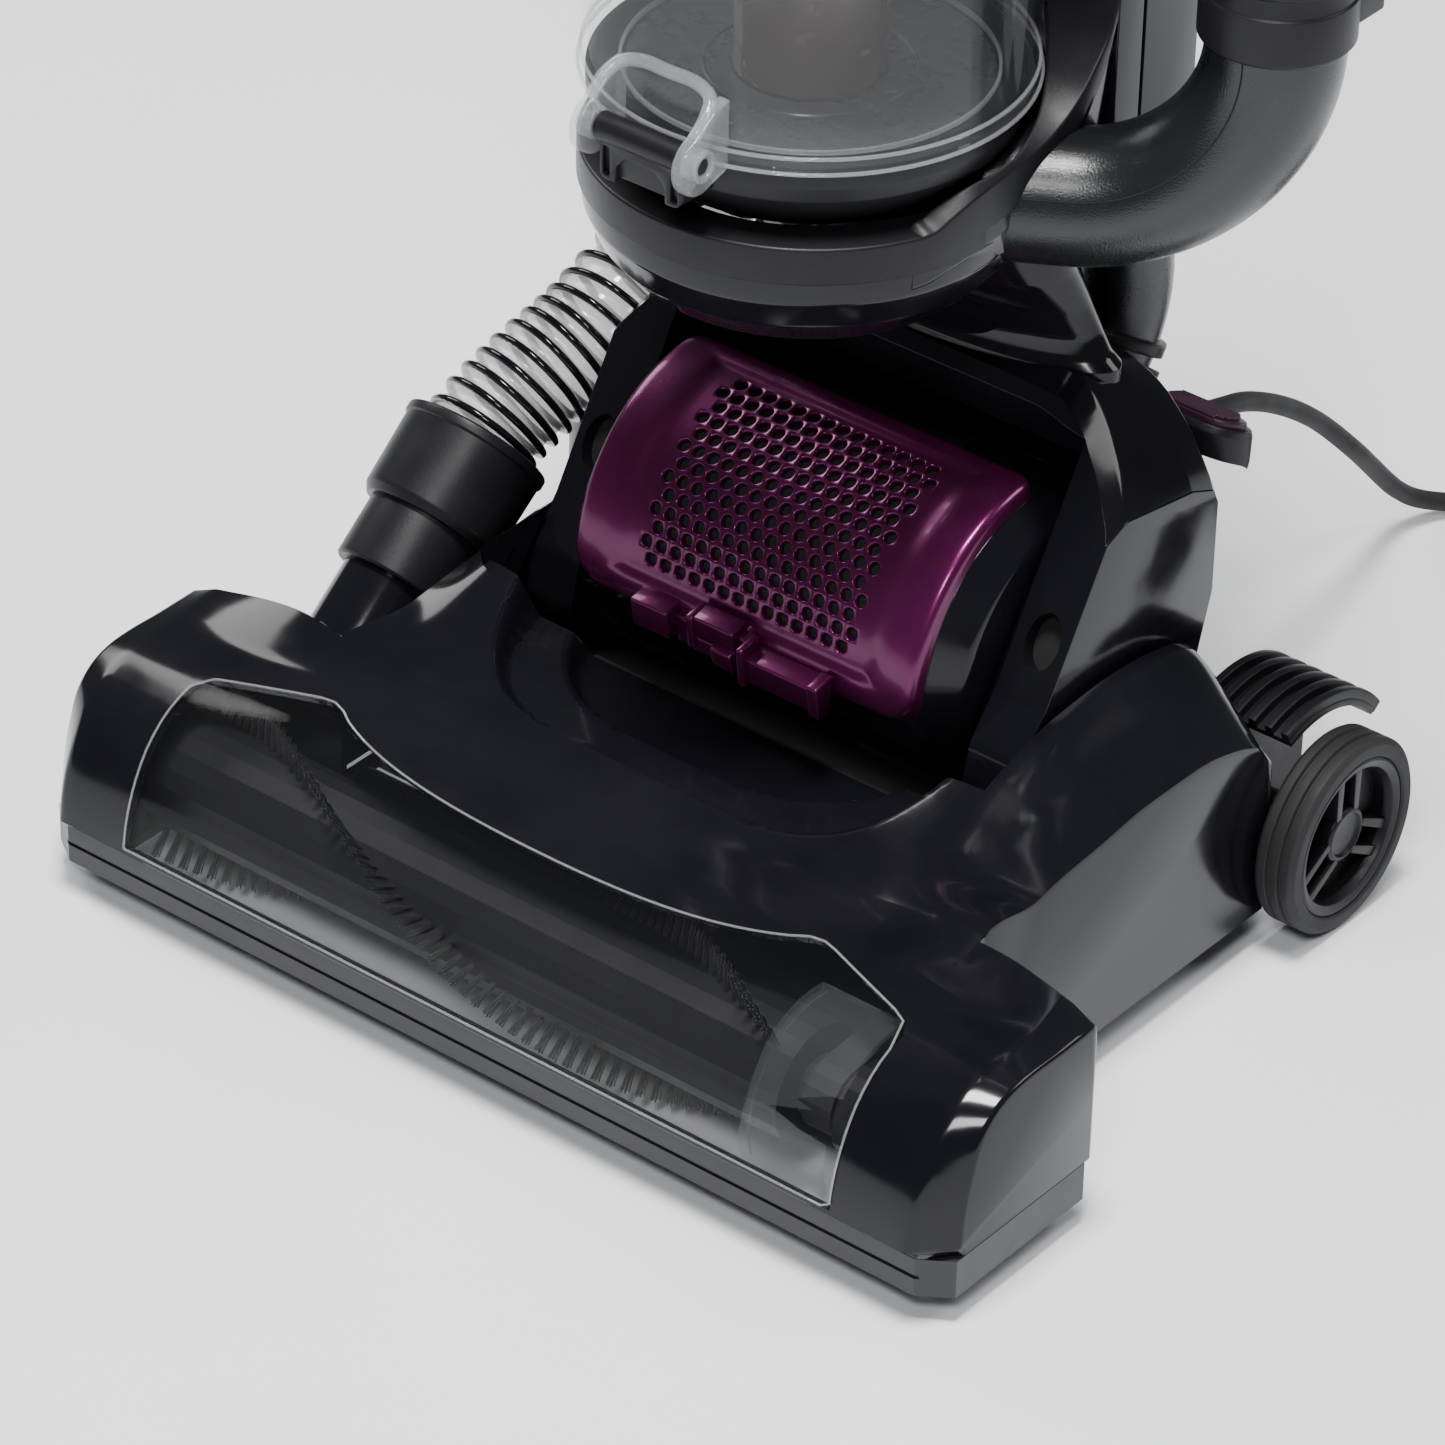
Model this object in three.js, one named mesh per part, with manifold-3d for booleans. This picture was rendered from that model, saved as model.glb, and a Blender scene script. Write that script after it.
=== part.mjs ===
// Upright bagless vacuum cleaner: floor head, reclining body, dust bin, handle and mains lead.
// Millimetres, +Z up, front of the floor head towards -Y, right-hand side towards +X.
import * as THREE from 'three';
import { mergeVertices } from 'three/addons/utils/BufferGeometryUtils.js';
import Module from 'manifold-3d';

const wasm = await Module();
wasm.setup();

// ---------------------------------------------------------------- driving dimensions
// Every y below is measured back from the front edge of the base plate; the whole model is
// shifted at the end so that the origin lies under the middle of the machine.
const HEAD_WIDTH = 325;
const HEAD_HALF = HEAD_WIDTH / 2;
const FRONT_Y = -4;
const REAR_Y = 252.9;
const GAP = 0.3;
const WALL = 2.6;
const PARTING_Z = 20.5;
const RIDE_Z = 8;
const BARREL_REAR = 64;
const WING_X = 123.3;
const WELL_X = 88.8;

const BRUSH = { y: 30, z: 33, core: 18, tip: 27.2, half: 140 };
const PIVOT = { y: 170, z: 66, radius: 9, reach: 97 };
const DRUM = { y: 165, z: 94, radius: 47.2, half: 69, cover: 52 };
const WHEEL = { y: 222.6, radius: 30.3, outer: 138, width: 13.5 };
const ROLLER = { x: 106, y: 84, radius: 6.5, width: 18 };
const BIN = { y: 138, radius: 62.2, top: 64.2, base: 266.6, rim: 474, wall: 2.2 };
const DOOR_HINGE = { y: 68.4, z: 271.6, radius: 4, half: 15 };
const BODY_X = 66;
const SPINE = { front: 186.6, rear: 224, foot: 206.6, top: 636, half: 46 };
const ELBOW = { x: 110.9, y: 195, z: 237.3, bend: 52.5, heading: 31, radius: 19.1 };
const HOSE_RADIUS = 18;
const FLOOR_HOSE_X = -120;
const HANDLE = { y: 207, radius: 14, foot: 560, top: 968 };
const HOSE_PORT = { x: 106, y: 200, z: 566, bend: 40 };
const TOOL = { x: -73.6, y: 206, foot: 336.3, top: 566 };
const CORD_RADIUS = 3;
const COIL = { x: 124, y: 437, mean: 38, half: 18.4, top: 24.4 };

// ---------------------------------------------------------------- finishes
function finish(color, roughness, metalness = 0, opacity = 1) {
  return new THREE.MeshStandardMaterial({ color, roughness, metalness, opacity, transparent: opacity < 1 });
}
const glossBlack = () => finish(0x0b0c10, 0.14);
const satinBlack = () => finish(0x16171a, 0.45);
const softGrey = () => finish(0x3b3c3f, 0.5);
const clear = () => finish(0xdfe3e6, 0.06, 0, 0.3);
const purple = () => finish(0x5c1246, 0.3, 0.6);
const rubber = () => finish(0x1b1c1e, 0.8);
const steel = () => finish(0x9a9ca0, 0.3, 1);
const smoke = () => finish(0x3a2f2b, 0.35);
const foam = () => finish(0xc9c6bd, 0.95);

// ---------------------------------------------------------------- solids
function signedVolume(position, index) {
  const [a, b, c] = [new THREE.Vector3(), new THREE.Vector3(), new THREE.Vector3()];
  let volume = 0;
  for (let i = 0; i < index.length; i += 3) {
    a.fromArray(position, index[i] * 3);
    b.fromArray(position, index[i + 1] * 3);
    c.fromArray(position, index[i + 2] * 3);
    volume += a.dot(b.cross(c)) / 6;
  }
  return volume;
}

// A closed geometry as a solid: shared vertices merged, empty triangles dropped, faces out.
function solid(geometry) {
  const bare = geometry.clone();
  bare.deleteAttribute('normal');
  bare.deleteAttribute('uv');
  const merged = mergeVertices(bare, 1e-3);
  const position = merged.attributes.position.array;
  const triangles = [];
  for (let i = 0; i < merged.index.count; i += 3) {
    const [a, b, c] = [0, 1, 2].map((k) => merged.index.getX(i + k));
    if (a !== b && b !== c && c !== a) triangles.push(a, b, c);
  }
  if (signedVolume(position, triangles) < 0) triangles.reverse();
  return new wasm.Manifold(new wasm.Mesh({
    numProp: 3,
    vertProperties: Float32Array.from(position),
    triVerts: Uint32Array.from(triangles),
  }));
}

function geometryOf(body) {
  const mesh = body.getMesh();
  const geometry = new THREE.BufferGeometry();
  geometry.setAttribute('position', new THREE.BufferAttribute(Float32Array.from(mesh.vertProperties), 3));
  geometry.setIndex(Array.from(mesh.triVerts));
  geometry.computeVertexNormals();
  return geometry;
}

const join = (...bodies) => bodies.reduce((sum, body) => sum.add(body));
const cut = (body, ...tools) => tools.reduce((rest, tool) => rest.subtract(tool), body);

const SIDEWAYS = new THREE.Matrix4().set(0, 0, 1, 0, 1, 0, 0, 0, 0, 1, 0, 0, 0, 0, 0, 1);
const FRONTWARDS = new THREE.Matrix4().set(1, 0, 0, 0, 0, 0, 1, 0, 0, 1, 0, 0, 0, 0, 0, 1);
const UPWARDS = new THREE.Matrix4();

function outline(points) {
  return new THREE.Shape(points.map(([u, v]) => new THREE.Vector2(u, v)));
}

function prism(shape, low, high, turn) {
  const drawn = shape instanceof THREE.Shape ? shape : outline(shape);
  const geometry = new THREE.ExtrudeGeometry(drawn,
    { depth: high - low, bevelEnabled: false, curveSegments: 8 });
  geometry.translate(0, 0, low);
  geometry.applyMatrix4(turn);
  return solid(geometry);
}
const prismX = (shape, low, high) => prism(shape, low, high, SIDEWAYS);
const prismY = (shape, low, high) => prism(shape, low, high, FRONTWARDS);
const prismZ = (shape, low, high) => prism(shape, low, high, UPWARDS);

function block([x0, x1], [y0, y1], [z0, z1]) {
  const geometry = new THREE.BoxGeometry(x1 - x0, y1 - y0, z1 - z0);
  geometry.translate((x0 + x1) / 2, (y0 + y1) / 2, (z0 + z1) / 2);
  return solid(geometry);
}

// A profile of [radius, height] pairs turned about an axis through `at`; both ends lie on the axis.
function turned(profile, axis, at, segments = 26) {
  const ends = [[0, profile[0][1]], ...profile, [0, profile[profile.length - 1][1]]];
  const geometry = new THREE.LatheGeometry(ends.map(([r, h]) => new THREE.Vector2(r, h)), segments);
  if (axis === 'x') geometry.rotateZ(-Math.PI / 2);
  if (axis === 'z') geometry.rotateX(Math.PI / 2);
  geometry.translate(...at);
  return solid(geometry);
}
const rodX = (radius, x0, x1, y, z, segments = 20) => (
  turned([[radius, x0], [radius, x1]], 'x', [0, y, z], segments));
const rodZ = (radius, z0, z1, x, y, segments = 20) => (
  turned([[radius, z0], [radius, z1]], 'z', [x, y, 0], segments));

function cylinderAlong(from, to, radius, segments, endRadius = radius) {
  const [a, b] = [new THREE.Vector3(...from), new THREE.Vector3(...to)];
  const geometry = new THREE.CylinderGeometry(endRadius, radius, a.distanceTo(b), segments);
  const up = new THREE.Vector3(0, 1, 0);
  geometry.applyQuaternion(new THREE.Quaternion().setFromUnitVectors(up, b.clone().sub(a).normalize()));
  const middle = a.add(b).multiplyScalar(0.5);
  geometry.translate(middle.x, middle.y, middle.z);
  return solid(geometry);
}
function rodY(radius, y0, y1, x, z, segments = 18) {
  return cylinderAlong([x, y0, z], [x, y1, z], radius, segments);
}
// Closed [y, z] loops of equal length, one for each x, skinned and capped.
function loft(stations) {
  const count = stations[0].loop.length;
  const position = stations.flatMap(({ x, loop }) => loop.flatMap(([y, z]) => [x, y, z]));
  const index = [];
  for (let s = 0; s + 1 < stations.length; s += 1) {
    for (let i = 0; i < count; i += 1) {
      const [a, b] = [s * count + i, s * count + (i + 1) % count];
      index.push(a, b, b + count, a, b + count, a + count);
    }
  }
  const capAt = (station, sense) => {
    const flat = stations[station].loop.map(([y, z]) => new THREE.Vector2(y, z));
    const wanted = sense * Math.sign(THREE.ShapeUtils.area(flat));
    for (const face of THREE.ShapeUtils.triangulateShape(flat, [])) {
      const drawn = Math.sign(THREE.ShapeUtils.area(face.map((k) => flat[k])));
      const corners = face.map((k) => station * count + k);
      index.push(...(drawn === wanted ? corners : corners.reverse()));
    }
  };
  capAt(0, -1);
  capAt(stations.length - 1, 1);
  const geometry = new THREE.BufferGeometry();
  geometry.setAttribute('position', new THREE.Float32BufferAttribute(position, 3));
  geometry.setIndex(index);
  return solid(geometry);
}

function polygonShape(radius, sides) {
  const corners = Array.from({ length: sides }, (_, i) => {
    const angle = (2 * Math.PI * i) / sides;
    return [radius * Math.cos(angle), radius * Math.sin(angle)];
  });
  return outline(corners);
}

function tubeAlong(curve, radius, sides, steps) {
  const options = { steps, extrudePath: curve, bevelEnabled: false };
  return solid(new THREE.ExtrudeGeometry(polygonShape(radius, sides), options));
}

function curveThrough(points) {
  return new THREE.CatmullRomCurve3(points.map((p) => new THREE.Vector3(...p)), false, 'centripetal');
}

const mirrored = (body) => {
  const geometry = geometryOf(body);
  geometry.scale(-1, 1, 1);
  return solid(geometry);
};

const machine = new THREE.Group();
function piece(name, body, material) {
  const mesh = new THREE.Mesh(geometryOf(body), material);
  mesh.name = name;
  machine.add(mesh);
}

// A ring sector about an X axis, from angle a0 to a1 in degrees, 0 at the front and 90 at the top.
function sector(inner, outer, a0, a1, x0, x1, y, z, steps = 14) {
  const arc = (radius, from, to) => Array.from({ length: steps + 1 }, (_, i) => {
    const angle = THREE.MathUtils.degToRad(from + ((to - from) * i) / steps);
    return [y - radius * Math.cos(angle), z + radius * Math.sin(angle)];
  });
  return prismX([...arc(outer, a0, a1), ...arc(inner, a1, a0)], x0, x1);
}

// ---------------------------------------------------------------- floor head shell
const BARREL_MID = [[0, 20.5], [-4, 24], [-3.4, 31], [-1.4, 39], [2, 48], [7, 56], [14, 62.6], [24, 67.2],
  [36, 69.8], [50, 70.4], [64, 70.4], [64, 20.5]];
const BARREL_SHOULDER = [[0, 20.5], [-4, 24], [-3, 31], [-1, 38.5], [3, 47.5], [8, 55], [16, 62], [25, 65.8],
  [37, 67.4], [50, 67.6], [64, 67.6], [64, 20.5]];
const BARREL_END = [[7.3, 20.5], [8, 23], [8.4, 30], [9.6, 38], [12, 47], [15.5, 56], [21, 61.4], [28, 64.2],
  [38, 65], [50, 64.6], [62.6, 64.4], [62.6, 20.5]];

function shrunk(loop, wall, floor) {
  const [cy, cz] = [31, 40];
  return loop.map(([y, z]) => {
    const reach = Math.hypot(y - cy, z - cz);
    const k = (reach - wall) / reach;
    return [cy + (y - cy) * k, z < PARTING_Z + 1 ? floor : cz + (z - cz) * k];
  });
}

const barrelStations = (wall, floor, endInset) => {
  const at = (x, loop) => ({ x, loop: wall ? shrunk(loop, wall, floor) : loop });
  return [at(-HEAD_HALF + endInset, BARREL_END), at(-153 + endInset, BARREL_SHOULDER), at(-100, BARREL_MID),
    at(100, BARREL_MID), at(153 - endInset, BARREL_SHOULDER), at(HEAD_HALF - endInset, BARREL_END)];
};

// Top of the head behind the barrel: height over depth, at five distances from the middle.
const DECK = [
  { x: 0, top: [[56, 70.2], [64, 70.4], [82, 71.6], [100, 74], [118, 78], [140, 84], [164, 88], [184, 86],
    [198, 80], [204, 72]] },
  { x: 62, top: [[56, 70], [64, 70.6], [82, 73.6], [100, 78.4], [118, 84], [140, 89.6], [164, 92],
    [184, 89], [198, 82], [204, 74]] },
  { x: 90, top: [[56, 69.4], [64, 70.4], [82, 75], [100, 81.6], [118, 88], [140, 92.8], [164, 94],
    [186, 91.4], [202, 84], [208, 76]] },
  { x: 107, top: [[56, 68], [64, 69.2], [82, 73.2], [100, 78.6], [118, 82.6], [140, 86], [164, 86.4],
    [185, 83.4], [199, 77], [205, 68]] },
  { x: WING_X, top: [[56, 66], [64, 67.4], [82, 71.4], [100, 75], [118, 76.4], [140, 78.4], [164, 78],
    [183, 75], [195, 70], [199.6, 62]] },
];
const DECK_FLOOR = 12;

function deckStations(wall) {
  const side = DECK.map(({ x, top }) => {
    const inside = top.map(([y, z], i) => [i === 0 ? y + wall : Math.min(y, top[9][0] - wall), z - wall]);
    const rear = inside[inside.length - 1][0];
    const floor = wall ? DECK_FLOOR - 4 : DECK_FLOOR;
    return { x: Math.min(x, WING_X - wall), loop: [...inside, [rear, floor], [inside[0][0], floor]] };
  });
  return [...side.slice(1).reverse().map(({ x, loop }) => ({ x: -x, loop })), ...side];
}

// Plan of the notch behind the left end of the barrel, where the floor hose stands.
const HOSE_NOTCH = [[-105, 64], [-97, 104], [-93, 140], [-92.4, 168], [-96, 178], [-170, 178], [-170, 64]];
const HOSE_NOTCH_FLOOR = 47;

const SCOOP = { halfFront: 38, halfRear: 78, front: 71, rear: 132, low: 62 };
function scoopPlan(inset) {
  const shape = new THREE.Shape();
  const [wide, narrow] = [SCOOP.halfRear - inset, SCOOP.halfFront - inset];
  const [front, rear] = [SCOOP.front + inset, SCOOP.rear];
  shape.moveTo(wide, rear);
  shape.bezierCurveTo(wide - 2, front + 22, narrow + 26, front, narrow - 10, front);
  shape.lineTo(10 - narrow, front);
  shape.bezierCurveTo(-narrow - 26, front, 2 - wide, front + 22, -wide, rear);
  return shape;
}

function windowCut(clearance) {
  // Outline over x and the height up the 45 degree slope of the window.
  const half = 127.6 - clearance;
  const low = 15.4 + clearance;
  const side = 68.6 - clearance;
  const peak = 79.8 - clearance;
  const dip = 66.4 - clearance;
  const shape = new THREE.Shape();
  shape.moveTo(-half, low);
  shape.lineTo(half, low);
  shape.lineTo(half, side - 6);
  shape.quadraticCurveTo(half, side, half - 6, side + 2);
  shape.lineTo(92, peak - 1);
  shape.quadraticCurveTo(86, peak + 1, 80, peak - 3);
  shape.bezierCurveTo(60, dip + 2, 32, dip, 0, dip);
  shape.bezierCurveTo(-32, dip, -60, dip + 2, -80, peak - 3);
  shape.quadraticCurveTo(-86, peak + 1, -92, peak - 1);
  shape.lineTo(6 - half, side + 2);
  shape.quadraticCurveTo(-half, side, -half, side - 6);
  const geometry = new THREE.ExtrudeGeometry(shape, { depth: 60, bevelEnabled: false, curveSegments: 5 });
  // u stays x, v climbs back and up the slope, w leaves the window forwards and up.
  const h = Math.SQRT1_2;
  geometry.applyMatrix4(new THREE.Matrix4().set(1, 0, 0, 0, 0, h, -h, 0, 0, h, h, 0, 0, 0, 0, 1));
  return solid(geometry);
}

const wellSpace = (grow) => join(
  rodX(57 + grow, -WELL_X - grow, WELL_X + grow, DRUM.y, DRUM.z, 40),
  block([-WELL_X - grow, WELL_X + grow], [DRUM.y, 260], [24 - grow, 160]),
);
const notchSpace = (grow) => {
  const plan = HOSE_NOTCH.map(([x, y], i) => [x + (i < 5 ? grow : 0), y]);
  return prismZ(plan, HOSE_NOTCH_FLOOR - grow, 130);
};

const barrelOuter = loft(barrelStations(0, 0, 0));
const headOuter = cut(join(barrelOuter, loft(deckStations(0))), wellSpace(0), notchSpace(0));
const headInner = cut(
  join(
    loft(barrelStations(WALL, 6, 3)).intersect(block([-170, 170], [-10, 61.4], [0, 100])),
    cut(loft(deckStations(WALL)), block([-170, 170], [0, BARREL_REAR], [0, 200])),
  ),
  wellSpace(WALL),
  notchSpace(WALL),
);
const socketAxis = new THREE.Vector3(0, 0.787, 0.617);
const socketFoot = new THREE.Vector3(FLOOR_HOSE_X, 118, 78.4);

// A cylinder on the hose socket's axis; distances run along the axis from where the cuff starts.
function onSocket(radius0, radius1, from, to, segments = 28) {
  const geometry = new THREE.CylinderGeometry(radius1, radius0, to - from, segments);
  geometry.translate(0, (from + to) / 2, 0);
  geometry.applyQuaternion(new THREE.Quaternion().setFromUnitVectors(new THREE.Vector3(0, 1, 0), socketAxis));
  geometry.translate(...socketFoot.toArray());
  return solid(geometry);
}

function headCover() {
  const scoop = join(
    prismZ(scoopPlan(0), SCOOP.low + 6, 120),
    prismZ(scoopPlan(16), SCOOP.low, 120),
  );
  const beltWay = block([97, 111], [58, 100], [26, 62]);
  const pivots = rodX(PIVOT.radius + GAP, -PIVOT.reach, PIVOT.reach, PIVOT.y, PIVOT.z);
  const duct = onSocket(15.4, 15.4, -80, 20);
  const shell = cut(headOuter, headInner, scoop, windowCut(0), beltWay, pivots, duct);
  const barrelFloor = block([-170, 170], [-10, BARREL_REAR], [0, PARTING_Z]);
  return cut(shell, barrelFloor);
}

function nozzleWindow() {
  const pane = cut(loft(barrelStations(0.01, PARTING_Z, 0)), loft(barrelStations(1.9, 6, 0)));
  return pane.intersect(windowCut(0.35));
}

function basePlate() {
  const edge = [[-153.2, 0], [153.2, 0], [HEAD_HALF, 6.3], [HEAD_HALF, 62.6], [120, 62.6], [119.6, 196],
    [-119.6, 196], [-120, 62.6], [-HEAD_HALF, 62.6], [-HEAD_HALF, 6.3]];
  const tray = prismZ(edge, RIDE_Z, PARTING_Z - GAP);
  const hollow = prismZ([[-151, 4], [151, 4], [158.5, 9.5], [158.5, 59], [-158.5, 59], [-158.5, 9.5]],
    RIDE_Z + 3, 40);
  const rearHollow = block([-170, 170], [62.6, 220], [RIDE_Z + 3.6, 40]);
  const mouth = block([-BRUSH.half - 3, BRUSH.half + 3], [9, 55], [0, 40]);
  const groove = block([-160, 160], [-1, 0.9], [13.6, 14.8]);
  const rollerWell = (side) => block(
    [side * ROLLER.x - ROLLER.width / 2 - 2, side * ROLLER.x + ROLLER.width / 2 + 2],
    [ROLLER.y - 9, ROLLER.y + 9],
    [0, 40],
  );
  return cut(tray, hollow, rearHollow, mouth, groove, rollerWell(-1), rollerWell(1));
}

function beltShield() {
  // Clear arched guard that keeps threads off the belt end of the brush.
  const arch = sector(28.6, 30.2, -18, 100, 93, 121, BRUSH.y, BRUSH.z, 12);
  const rib = sector(27.8, 30.2, -18, 100, 93, 95, BRUSH.y, BRUSH.z, 12);
  return join(arch, rib).intersect(loft(barrelStations(3, 6, 3)));
}

piece('base_plate', basePlate(), softGrey());
piece('head_cover', headCover(), glossBlack());
piece('nozzle_window', nozzleWindow(), clear());
piece('belt_shield', beltShield(), clear());

// ---------------------------------------------------------------- brush roll and drive
const BELT_X = 104;
const PULLEY_RADIUS = 9;
const BRUSH_MOTOR = { y: 100, z: 42, radius: 16, pulley: 5 };

const TUFT = { middle: 3.05, twist: 0.0201 };
function bristleStrip(phase) {
  // One helical row of tufts along the brush; the angle is measured at the middle of the row.
  const stations = Array.from({ length: 15 }, (_, i) => {
    const x = -132 + (i / 14) * 222;
    const angle = phase + TUFT.middle + TUFT.twist * (x + 21);
    const [c, s] = [Math.cos(angle), Math.sin(angle)];
    const corner = (r, w) => [BRUSH.y + r * c - w * s, BRUSH.z + r * s + w * c];
    const root = BRUSH.core + 1;
    return { x, loop: [corner(root, -1.8), corner(BRUSH.tip, -1.2), corner(BRUSH.tip, 1.2),
      corner(root, 1.8)] };
  });
  return loft(stations);
}

piece('brush_core', join(
  cut(
    rodX(BRUSH.core, -136, BELT_X - 8, BRUSH.y, BRUSH.z, 20),
    rodX(4.6, -140, 140, BRUSH.y, BRUSH.z, 12),
  ),
  cut(rodX(PULLEY_RADIUS, BELT_X - 8, BELT_X + 8, BRUSH.y, BRUSH.z, 20),
    rodX(4.6, 90, 140, BRUSH.y, BRUSH.z, 12)),
  cut(rodX(14, BELT_X + 8, 134, BRUSH.y, BRUSH.z, 20), rodX(4.6, 90, 140, BRUSH.y, BRUSH.z, 12)),
), satinBlack());
piece('bristles_a', bristleStrip(0), rubber());
piece('bristles_b', bristleStrip(Math.PI), rubber());
for (const [side, name] of [[-1, 'bearing_left'], [1, 'bearing_right']]) {
  const at = (near, far) => [Math.min(side * near, side * far), Math.max(side * near, side * far)];
  const [cap0, cap1] = at(137, 158.9);
  const [pin0, pin1] = at(128, 138);
  piece(name, join(
    rodX(12, cap0, cap1, BRUSH.y, BRUSH.z, 20),
    rodX(4.1, pin0, pin1, BRUSH.y, BRUSH.z, 12),
  ), steel());
}

function driveBelt() {
  // Flat belt from the brush motor's pulley to the neck at the right-hand end of the brush roll.
  const run = Math.atan2(BRUSH_MOTOR.z - BRUSH.z, BRUSH_MOTOR.y - BRUSH.y);
  const span = Math.hypot(BRUSH_MOTOR.z - BRUSH.z, BRUSH_MOTOR.y - BRUSH.y);
  const lean = Math.acos((PULLEY_RADIUS - BRUSH_MOTOR.pulley) / span);
  const loop = (grow) => {
    const arc = (cy, cz, radius, from, to) => Array.from({ length: 9 }, (_, i) => {
      const angle = from + ((to - from) * i) / 8;
      return [cy + radius * Math.cos(angle), cz + radius * Math.sin(angle)];
    });
    const far = Math.PI - lean;
    return [
      ...arc(BRUSH_MOTOR.y, BRUSH_MOTOR.z, BRUSH_MOTOR.pulley + grow, run - far, run + far),
      ...arc(BRUSH.y, BRUSH.z, PULLEY_RADIUS + grow, run + far, run + 2 * Math.PI - far),
    ];
  };
  const shape = outline(loop(2));
  shape.holes.push(new THREE.Path(loop(GAP).map(([u, v]) => new THREE.Vector2(u, v))));
  return prismX(shape, BELT_X - 5, BELT_X + 5);
}
piece('drive_belt', driveBelt(), rubber());
piece('brush_motor', cut(
  turned([[6, 34], [BRUSH_MOTOR.radius, 38], [BRUSH_MOTOR.radius, 86], [7, 92]], 'x',
    [0, BRUSH_MOTOR.y, BRUSH_MOTOR.z], 24),
  rodX(2.6, 30, 95, BRUSH_MOTOR.y, BRUSH_MOTOR.z, 12),
), steel());
piece('drive_pulley', join(
  rodX(2.4, 60, 112, BRUSH_MOTOR.y, BRUSH_MOTOR.z, 12),
  rodX(BRUSH_MOTOR.pulley, BELT_X - 6, BELT_X + 6, BRUSH_MOTOR.y, BRUSH_MOTOR.z, 16),
), steel());

// ---------------------------------------------------------------- wheels and fenders
function sides(inner, outer, side) {
  return side > 0 ? [inner, outer] : [-outer, -inner];
}

function wheelHub(side) {
  const [inner, outer] = [WHEEL.outer - WHEEL.width, WHEEL.outer];
  const rodAt = (r, x0, x1, segments = 18) => {
    const [a, b] = sides(x0, x1, side);
    return rodX(r, a, b, WHEEL.y, WHEEL.radius, segments);
  };
  const rim = cut(rodAt(24.6, inner, outer - 0.6), rodAt(20.6, inner - 1, outer + 1));
  const boss = rodAt(8.6, inner, outer - 3.4, 20);
  const raised = cut(rodAt(6.6, outer - 3.6, outer - 2, 20), rodAt(4.6, outer - 3, outer, 20));
  const web = cut(rodAt(21, inner + 3, inner + 6), rodAt(5, inner, outer));
  const [s0, s1] = sides(inner + 5, outer - 3, side);
  const spokes = [90, 210, 330].flatMap((angle) => [-4.2, 4.2].map((off) => {
    const bar = new THREE.BoxGeometry(s1 - s0, 17, 2.4);
    bar.translate((s0 + s1) / 2, 13.6, off);
    bar.rotateX(THREE.MathUtils.degToRad(angle));
    bar.translate(0, WHEEL.y, WHEEL.radius);
    return solid(bar);
  }));
  const axleHole = rodAt(4.1, inner - 1, outer - 8, 16);
  return cut(join(rim, boss, raised, web, ...spokes), axleHole);
}

function tyre(side) {
  const [inner, outer] = [WHEEL.outer - WHEEL.width, WHEEL.outer];
  const [a, b] = sides(inner, outer, side);
  const groove = (x) => [[WHEEL.radius, x - 1], [WHEEL.radius - 1.4, x], [WHEEL.radius, x + 1]];
  const profile = [[WHEEL.radius - 1.2, a], [WHEEL.radius, a + 1.4], ...groove(a + 4.6), ...groove(b - 4.6),
    [WHEEL.radius, b - 1.4], [WHEEL.radius - 1.2, b]];
  const body = turned(profile, 'x', [0, WHEEL.y, WHEEL.radius], 22);
  return cut(body, rodX(24.6 + GAP, a - 1, b + 1, WHEEL.y, WHEEL.radius, 18));
}

function fender(side) {
  // Ribbed guard between wing and wheel, standing on the back of the wing.
  const [x0, x1] = sides(92, 123.6, side);
  const shell = sector(34.8, 37, 66, 172, x0, x1, WHEEL.y, WHEEL.radius, 6);
  const ribs = Array.from({ length: 6 }, (_, i) => {
    const x = x0 + 1.4 + (i * (x1 - x0 - 2.8)) / 5;
    return sector(36, 40, 66, 172, x - 1.3, x + 1.3, WHEEL.y, WHEEL.radius, 6);
  });
  const [p0, p1] = sides(92, 102, side);
  const plate = cut(
    rodX(36, p0, p1, WHEEL.y, WHEEL.radius, 24),
    rodX(4.4, -130, 130, WHEEL.y, WHEEL.radius, 16),
  );
  return join(shell, ...ribs, plate).intersect(block([x0 - 1, x1 + 1], [208.6, 251], [8, 90]));
}

for (const [side, word] of [[-1, 'left'], [1, 'right']]) {
  piece(`wheel_${word}`, wheelHub(side), satinBlack());
  piece(`tyre_${word}`, tyre(side), rubber());
  piece(`fender_${word}`, fender(side), satinBlack());
  const [a, b] = sides(92.4, 129.6, side);
  piece(`axle_${word}`, rodX(4, a, b, WHEEL.y, WHEEL.radius, 16), steel());
  const at = side * ROLLER.x;
  piece(`roller_${word}`, rodX(ROLLER.radius, at - ROLLER.width / 2, at + ROLLER.width / 2, ROLLER.y,
    ROLLER.radius, 20),
    satinBlack());
}

// ---------------------------------------------------------------- floor hose and its socket
function hoseSocket() {
  // Spigot that carries the dusty air from the back of the brush chamber into the hose.
  const tube = join(onSocket(15, 15, -64, 10));
  const inner = onSocket(12.8, 12.8, -80, 20);
  return cut(tube, inner).intersect(block([-170, 0], [BARREL_REAR + GAP, 200], [0, 200]));
}
piece('hose_socket', hoseSocket(), glossBlack());
piece('socket_sleeve', cut(onSocket(18.2, 18.2, -20, 12), onSocket(15 + GAP, 15 + GAP, -30, 30)), satinBlack());
piece('hose_cuff', cut(
  join(onSocket(21.8, 22.2, 0, 27), onSocket(22.8, 22.8, 26.5, 29.5)),
  onSocket(18.2 + GAP, 18.2 + GAP, -10, 12),
  onSocket(19.4, 19.4, 11, 40),
), satinBlack());

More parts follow.
